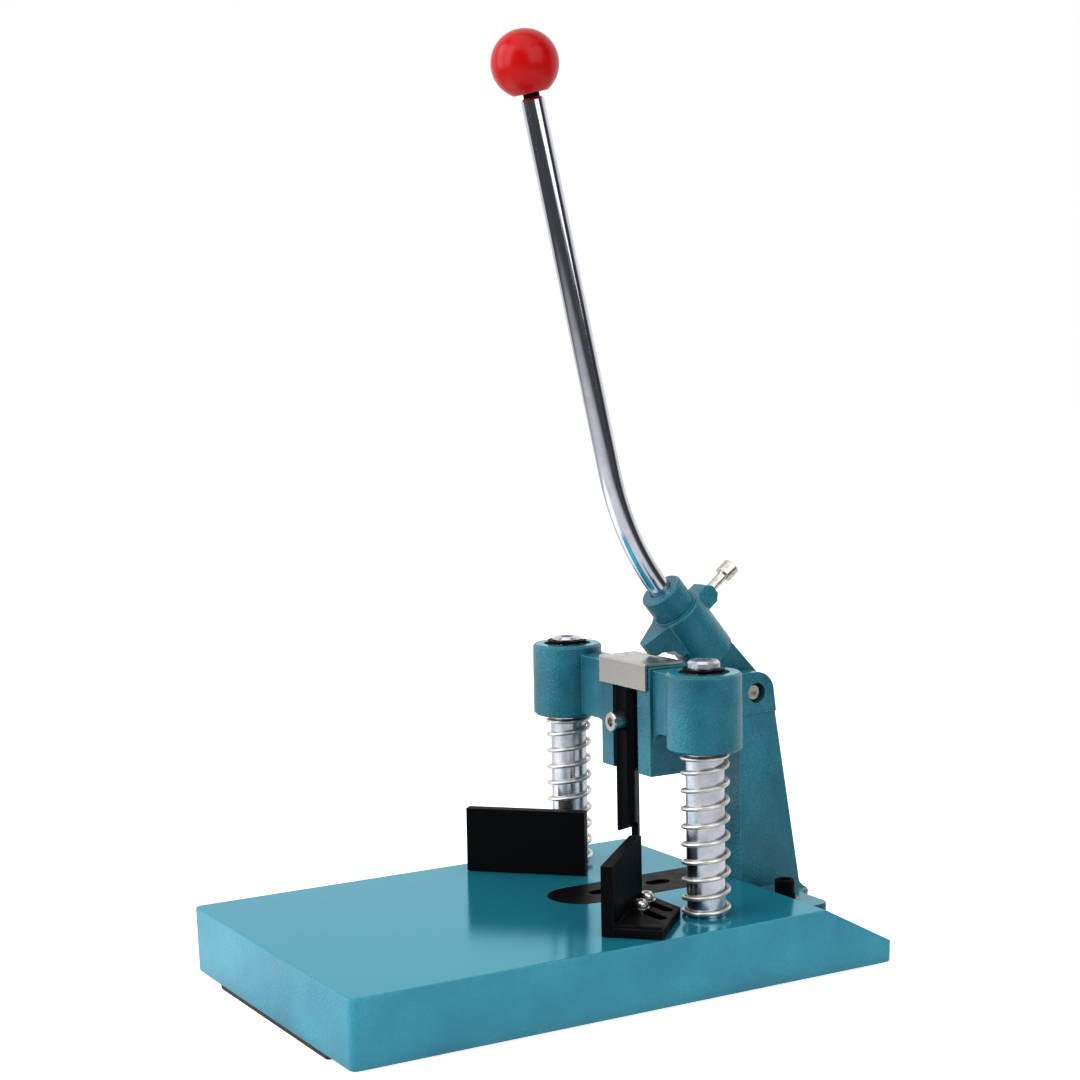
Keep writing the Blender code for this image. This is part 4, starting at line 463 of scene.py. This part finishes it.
# %% The ball
BALL_RADIUS = 14.5 * MM
BALL_SIDES = 96
BALL_ROWS = 60
POLE_GAP = 0.01
BALL_FLAT = 12.5 * MM
NECK = 1.9 * MM
MOUTH_RADIUS = 3.8 * MM
MOUTH_DEPTH = 9.1 * MM
MOUTH_BEVEL = 0.4 * MM
sweep = np.linspace(math.asin(-BALL_FLAT / BALL_RADIUS), math.pi / 2 - POLE_GAP, BALL_ROWS)
outside = np.stack([BALL_RADIUS * np.cos(sweep), BALL_RADIUS * np.sin(sweep)], axis=1)
mouth = np.array([[MOUTH_RADIUS, MOUTH_DEPTH - BALL_FLAT], [MOUTH_RADIUS, MOUTH_BEVEL - BALL_FLAT],
                  [MOUTH_RADIUS + MOUTH_BEVEL, -BALL_FLAT]])
ball_middle = rod_end + rod_direction * (NECK + BALL_FLAT)
ball_points = turned_about(np.concatenate([mouth, outside]), ball_middle, rod_direction, BALL_SIDES)
ball = grid_piece("ball", ball_points, BALL_RED)
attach(ball, "lever")
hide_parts("ball_knob")
print("ball of", len(ball.data.polygons), "faces")

# %% [markdown]
# ## The other pieces
# A solid from CAD comes as loose flat triangles. A copy with its points merged can be shaded smooth across
# curves and kept sharp at corners, which is what makes a turned or cast piece read as one surface. Each
# copy takes the finish of the real piece and stands for its solid.

# %% Smooth copies of the solids
FINISHES = {
    "base_plate": (TABLE_ENAMEL, "teal_enamel"),
    "column": (CAST_ENAMEL, "teal_enamel"),
    "slider_head": (CAST_ENAMEL, "teal_enamel"),
    "lever_head": (CAST_ENAMEL, "teal_enamel"),
    "post_": (POST_CHROME, "chrome_steel"),
    "pivot_pin": (CHROME, "chrome_steel"),
    "wear_plate": (PLATE_STEEL, "bright_steel"),
    "guide_bush": (BRONZE, "bronze"),
    "die_": (TOOL_BLACK, "black_steel"),
    "blade": (TOOL_BLACK, "black_steel"),
    "blade_clamp": (SCREW_STEEL, "bright_steel"),
    "column_screw": (TOOL_BLACK, "black_steel"),
    "column_spring_washer": (TOOL_BLACK, "black_steel"),
    "column_flat_washer": (SCREW_STEEL, "bright_steel"),
    "retaining_ring": (TOOL_BLACK, "black_steel"),
    "knob_stud": (TOOL_BLACK, "black_steel"),
    "fence_right": (FENCE_BLACK, "black_steel"),
    "fence_left": (FENCE_BLACK, "black_steel"),
    "fence_right_": (SCREW_STEEL, "bright_steel"),
    "fence_left_": (SCREW_STEEL, "bright_steel"),
    "pivot_screw": (SCREW_STEEL, "bright_steel"),
    "wear_plate_screw": (SCREW_STEEL, "bright_steel"),
    "rod_lock_screw": (SCREW_STEEL, "bright_steel"),
    "front_foot_strip": (RUBBER, "black_rubber"),
    "rear_foot_strip": (RUBBER, "black_rubber"),
}
DRAWN_ABOVE = ("spring_right", "spring_left", "lever_rod", "ball_knob")
SAME_CORNER = 0.002 * MM
FLAT = math.cos(math.radians(1))
CREASE = math.cos(math.radians(35))


def flat_areas(shape):
    """For each face, the area of the flat region that it lies in."""
    region = {}
    for seed in shape.faces:
        if seed in region:
            continue
        members, waiting = [seed], [seed]
        region[seed] = members
        while waiting:
            face = waiting.pop()
            for edge in face.edges:
                for other in edge.link_faces:
                    if other not in region and face.normal.dot(other.normal) > FLAT:
                        region[other] = members
                        members.append(other)
                        waiting.append(other)
    size = {id(members): sum(face.calc_area() for face in members) for members in region.values()}
    return {face: size[id(members)] for face, members in region.items()}


def corner_normals(shape):
    """A normal for every face corner. Faces that meet there below the crease angle share one, in which each
    flat region counts by its whole area, so a flat keeps its own direction right up to its rounded edge."""
    areas = flat_areas(shape)
    normals = []
    for face in shape.faces:
        for loop in face.loops:
            total = Vector()
            seen, waiting = {face}, [face]
            while waiting:
                here = waiting.pop()
                total += here.normal * areas[here]
                for edge in loop.vert.link_edges:
                    if here in edge.link_faces:
                        for other in edge.link_faces:
                            if other not in seen and here.normal.dot(other.normal) > CREASE:
                                seen.add(other)
                                waiting.append(other)
            normals.append(total.normalized() if total.length else face.normal)
    return normals


def smooth_copy(name):
    """The node's mesh with its points merged, and normals that are round on curves and even on flats."""
    piece = frame["nodes"][name].copy()
    piece.data = piece.data.copy()
    piece.name = name + "_finished"
    piece.data.name = piece.name
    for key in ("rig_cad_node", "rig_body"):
        if key in piece:
            del piece[key]
    piece.parent = None
    bpy.context.scene.collection.objects.link(piece)
    shape = bmesh.new()
    shape.from_mesh(piece.data)
    bmesh.ops.remove_doubles(shape, verts=shape.verts, dist=SAME_CORNER)
    shape.normal_update()
    normals = corner_normals(shape)
    shape.to_mesh(piece.data)
    shape.free()
    piece.data.shade_smooth()
    piece.data.normals_split_custom_set(normals)
    return piece


body_of = {name: body for body, names in frame["record"]["behaviour"]["bodies"].items() for name in names}
for name in sorted(frame["nodes"]):
    if name in DRAWN_ABOVE:
        continue
    material, slot = FINISHES[max((start for start in FINISHES if name.startswith(start)), key=len)]
    piece = smooth_copy(name)
    piece.data.materials.clear()
    piece.data.materials.append(material)
    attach(piece, body_of[name])
    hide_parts(name)
print("finished", len(frame["nodes"]) - len(DRAWN_ABOVE), "pieces")

# %% [markdown]
# ## Floor
# The machine stands on white paper. The camera sees it white because the paper also gives off light, which
# only camera rays see, so that the machine gets none of it and its shadow stays. What enamel and chrome
# mirror of the paper is set apart from that: bright near the machine, behind it and in a patch off its front
# left corner, and dark further off, because chrome with white all round it loses its drawing.


# %% The paper
AWAY_FROM_CAMERA = (-0.864, 0.503, 0.0)
TO_THE_RIGHT = (0.503, 0.864, 0.0)
FRONT_PATCH = (-0.2, -0.25, 0.0)
PAPER_LIGHT = 0.85
FLOOR_HALF = 6.0


def flat_sheet(name, corners, material):
    """One rectangle from its four corners."""
    mesh = bpy.data.meshes.new(name)
    mesh.from_pydata(corners, [], [(0, 1, 2, 3)])
    piece = bpy.data.objects.new(name, mesh)
    bpy.context.scene.collection.objects.link(piece)
    piece.data.materials.append(material)
    return piece


paper, tree, shader = new_material("white_paper_floor")
rays = add(tree, "LightPath")
place = add(tree, "NewGeometry")["Position"]
distance = add(tree, "VectorMath", {0: place}, operation="LENGTH")["Value"]
beside = add(tree, "MapRange", {"Value": distance, "From Min": 0.5, "From Max": 1.1,
                                "To Min": 0.9, "To Max": 0.07})["Result"]
beyond = add(tree, "VectorMath", {0: place, 1: AWAY_FROM_CAMERA}, operation="DOT_PRODUCT")["Value"]
behind = add(tree, "MapRange", {"Value": beyond, "From Min": 0.3, "From Max": 0.8, "To Max": 0.9})["Result"]
from_patch = add(tree, "VectorMath", {0: place, 1: FRONT_PATCH}, operation="DISTANCE")["Value"]
patch = add(tree, "MapRange", {"Value": from_patch, "From Min": 0.16, "From Max": 0.3,
                               "To Min": 1.6, "To Max": 0.0})["Result"]
brightness = add(tree, "Math", {0: beside, 1: behind}, operation="MAXIMUM")[0]
brightness = add(tree, "Math", {0: brightness, 1: patch}, operation="MAXIMUM")[0]
mirrored = add(tree, "Emission", {"Color": brightness})["Emission"]
seen = add(tree, "Math", {0: rays["Is Camera Ray"], 1: PAPER_LIGHT}, operation="MULTIPLY")[0]
fill(tree, shader, {"Base Color": "#f4f4f4", "Roughness": 0.9, "Specular IOR Level": 0.1,
                    "Emission Color": "#ffffff", "Emission Strength": seen})
surface = add(tree, "MixShader", {0: rays["Is Glossy Ray"], 1: shader.outputs[0], 2: mirrored})[0]
fill(tree, tree.nodes["Material Output"], {"Surface": surface})
CORNERS = ((-1, -1), (1, -1), (1, 1), (-1, 1))
flat_sheet("floor", [(FLOOR_HALF * x, FLOOR_HALF * y, 0) for x, y in CORNERS], paper)
print("paper", 2 * FLOOR_HALF, "m square")

# %% [markdown]
# ## Cards, lamps and world
# Two dark cards stand where only reflections see them, as a product photographer would set them. A large key
# lamp in front on the left lights the front and the table, a weaker one fills the right side, and a third
# stands above. The world is white to the camera and a weak even light to the object. In reflections it is
# dark, but for the white wall behind the machine and one upright window stripe on the right.


# %% Cards and lamps
CARD_HEIGHT = 1.6
LAMP_AIM = Vector((0, 0, 0.1))

card_black, tree, shader = new_material("black_card")
fill(tree, shader, {"Base Color": "#0c0c0e", "Roughness": 1.0})
for name, x, y, half, degrees in (("card_right", 1.3, 0.75, 0.22, 65), ("card_left", -0.35, -1.4, 0.16, -10)):
    heading = math.radians(degrees)
    dx, dy = half * math.sin(heading), half * math.cos(heading)
    card = flat_sheet(name, [(x - dx, y - dy, 0.0), (x + dx, y + dy, 0.0), (x + dx, y + dy, CARD_HEIGHT),
                             (x - dx, y - dy, CARD_HEIGHT)], card_black)
    card.visible_camera = False
    card.visible_diffuse = False
    card.visible_shadow = False
    card.visible_transmission = False

for name, place, size, power in (("key_lamp", (-0.5, -1.9, 1.0), 2.2, 50),
                                 ("fill_lamp", (1.6, 0.2, 1.0), 1.6, 15),
                                 ("top_lamp", (0.4, -0.5, 1.7), 1.6, 12)):
    lamp = bpy.data.objects.new(name, bpy.data.lights.new(name, "AREA"))
    lamp.data.size = size
    lamp.data.energy = power
    lamp.location = place
    lamp.rotation_euler = (Vector(place) - LAMP_AIM).to_track_quat("Z", "Y").to_euler()
    bpy.context.scene.collection.objects.link(lamp)
    print(name, power, "W,", size, "m square")

# %% The world
SOFT_LIGHT = 0.21
WINDOW_SIDE = 0.5

world = bpy.data.worlds.new("white_studio")
bpy.context.scene.world = world
world.use_nodes = True
tree = world.node_tree
rays = add(tree, "LightPath")
towards = add(tree, "TexCoord")["Generated"]
behind = add(tree, "VectorMath", {0: towards, 1: AWAY_FROM_CAMERA}, operation="DOT_PRODUCT")["Value"]
wall = add(tree, "MapRange", {"Value": behind, "From Min": 0.02, "From Max": 0.4,
                              "To Min": 0.05, "To Max": 1.0})["Result"]
sideways = add(tree, "VectorMath", {0: towards, 1: TO_THE_RIGHT}, operation="DOT_PRODUCT")["Value"]
gap = add(tree, "Math", {0: sideways, 1: -WINDOW_SIDE}, operation="ADD")[0]
gap = add(tree, "Math", {0: gap}, operation="ABSOLUTE")[0]
window = add(tree, "MapRange", {"Value": gap, "From Min": 0.04, "From Max": 0.1,
                                "To Min": 0.7, "To Max": 0.0})["Result"]
mirrored = add(tree, "Math", {0: wall, 1: window}, operation="MAXIMUM")[0]
level = add(tree, "Mix", {0: rays["Is Glossy Ray"], 2: SOFT_LIGHT, 3: mirrored}, data_type="FLOAT")[0]
direct = add(tree, "Math", {0: rays["Is Camera Ray"], 1: rays["Is Transmission Ray"]}, operation="MAXIMUM")[0]
level = add(tree, "Mix", {0: direct, 2: level, 3: 1.0}, data_type="FLOAT")[0]
fill(tree, tree.nodes["Background"], {"Color": "#ffffff", "Strength": level})
bpy.context.scene.view_settings.view_transform = "Standard"
print("soft light from all round", SOFT_LIGHT)

# %% [markdown]
# ## Camera
# The picture is square and was taken from the right of the table with a longish lens, a little above the
# sliding head. The place and the turn come from fitting the table's corners and the posts.

# %% The camera
AZIMUTH = math.radians(59.82)
PITCH = math.radians(5.10)
ROLL = math.radians(-1.07)
EYE = np.array([770.0, -445.7, 268.0]) * MM
FOCAL_LENGTH = 69.45
SENSOR_WIDTH = 36
level_right = np.array([math.cos(AZIMUTH), math.sin(AZIMUTH), 0.0])
level_ahead = np.array([-math.sin(AZIMUTH), math.cos(AZIMUTH), 0.0])
ahead = level_ahead * math.cos(PITCH) - np.array([0.0, 0.0, math.sin(PITCH)])
level_up = np.cross(level_right, ahead)
right = level_right * math.cos(ROLL) + level_up * math.sin(ROLL)
up = -level_right * math.sin(ROLL) + level_up * math.cos(ROLL)
lens = bpy.data.cameras.new("camera")
lens.sensor_width = SENSOR_WIDTH
lens.lens = FOCAL_LENGTH
lens.sensor_fit = "HORIZONTAL"
camera = bpy.data.objects.new("camera", lens)
placed = np.vstack([np.column_stack([right, up, -ahead, EYE]), [0.0, 0.0, 0.0, 1.0]])
camera.matrix_world = Matrix(placed.tolist())
bpy.context.scene.collection.objects.link(camera)
bpy.context.scene.camera = camera
print("camera looks along", np.round(ahead, 3))
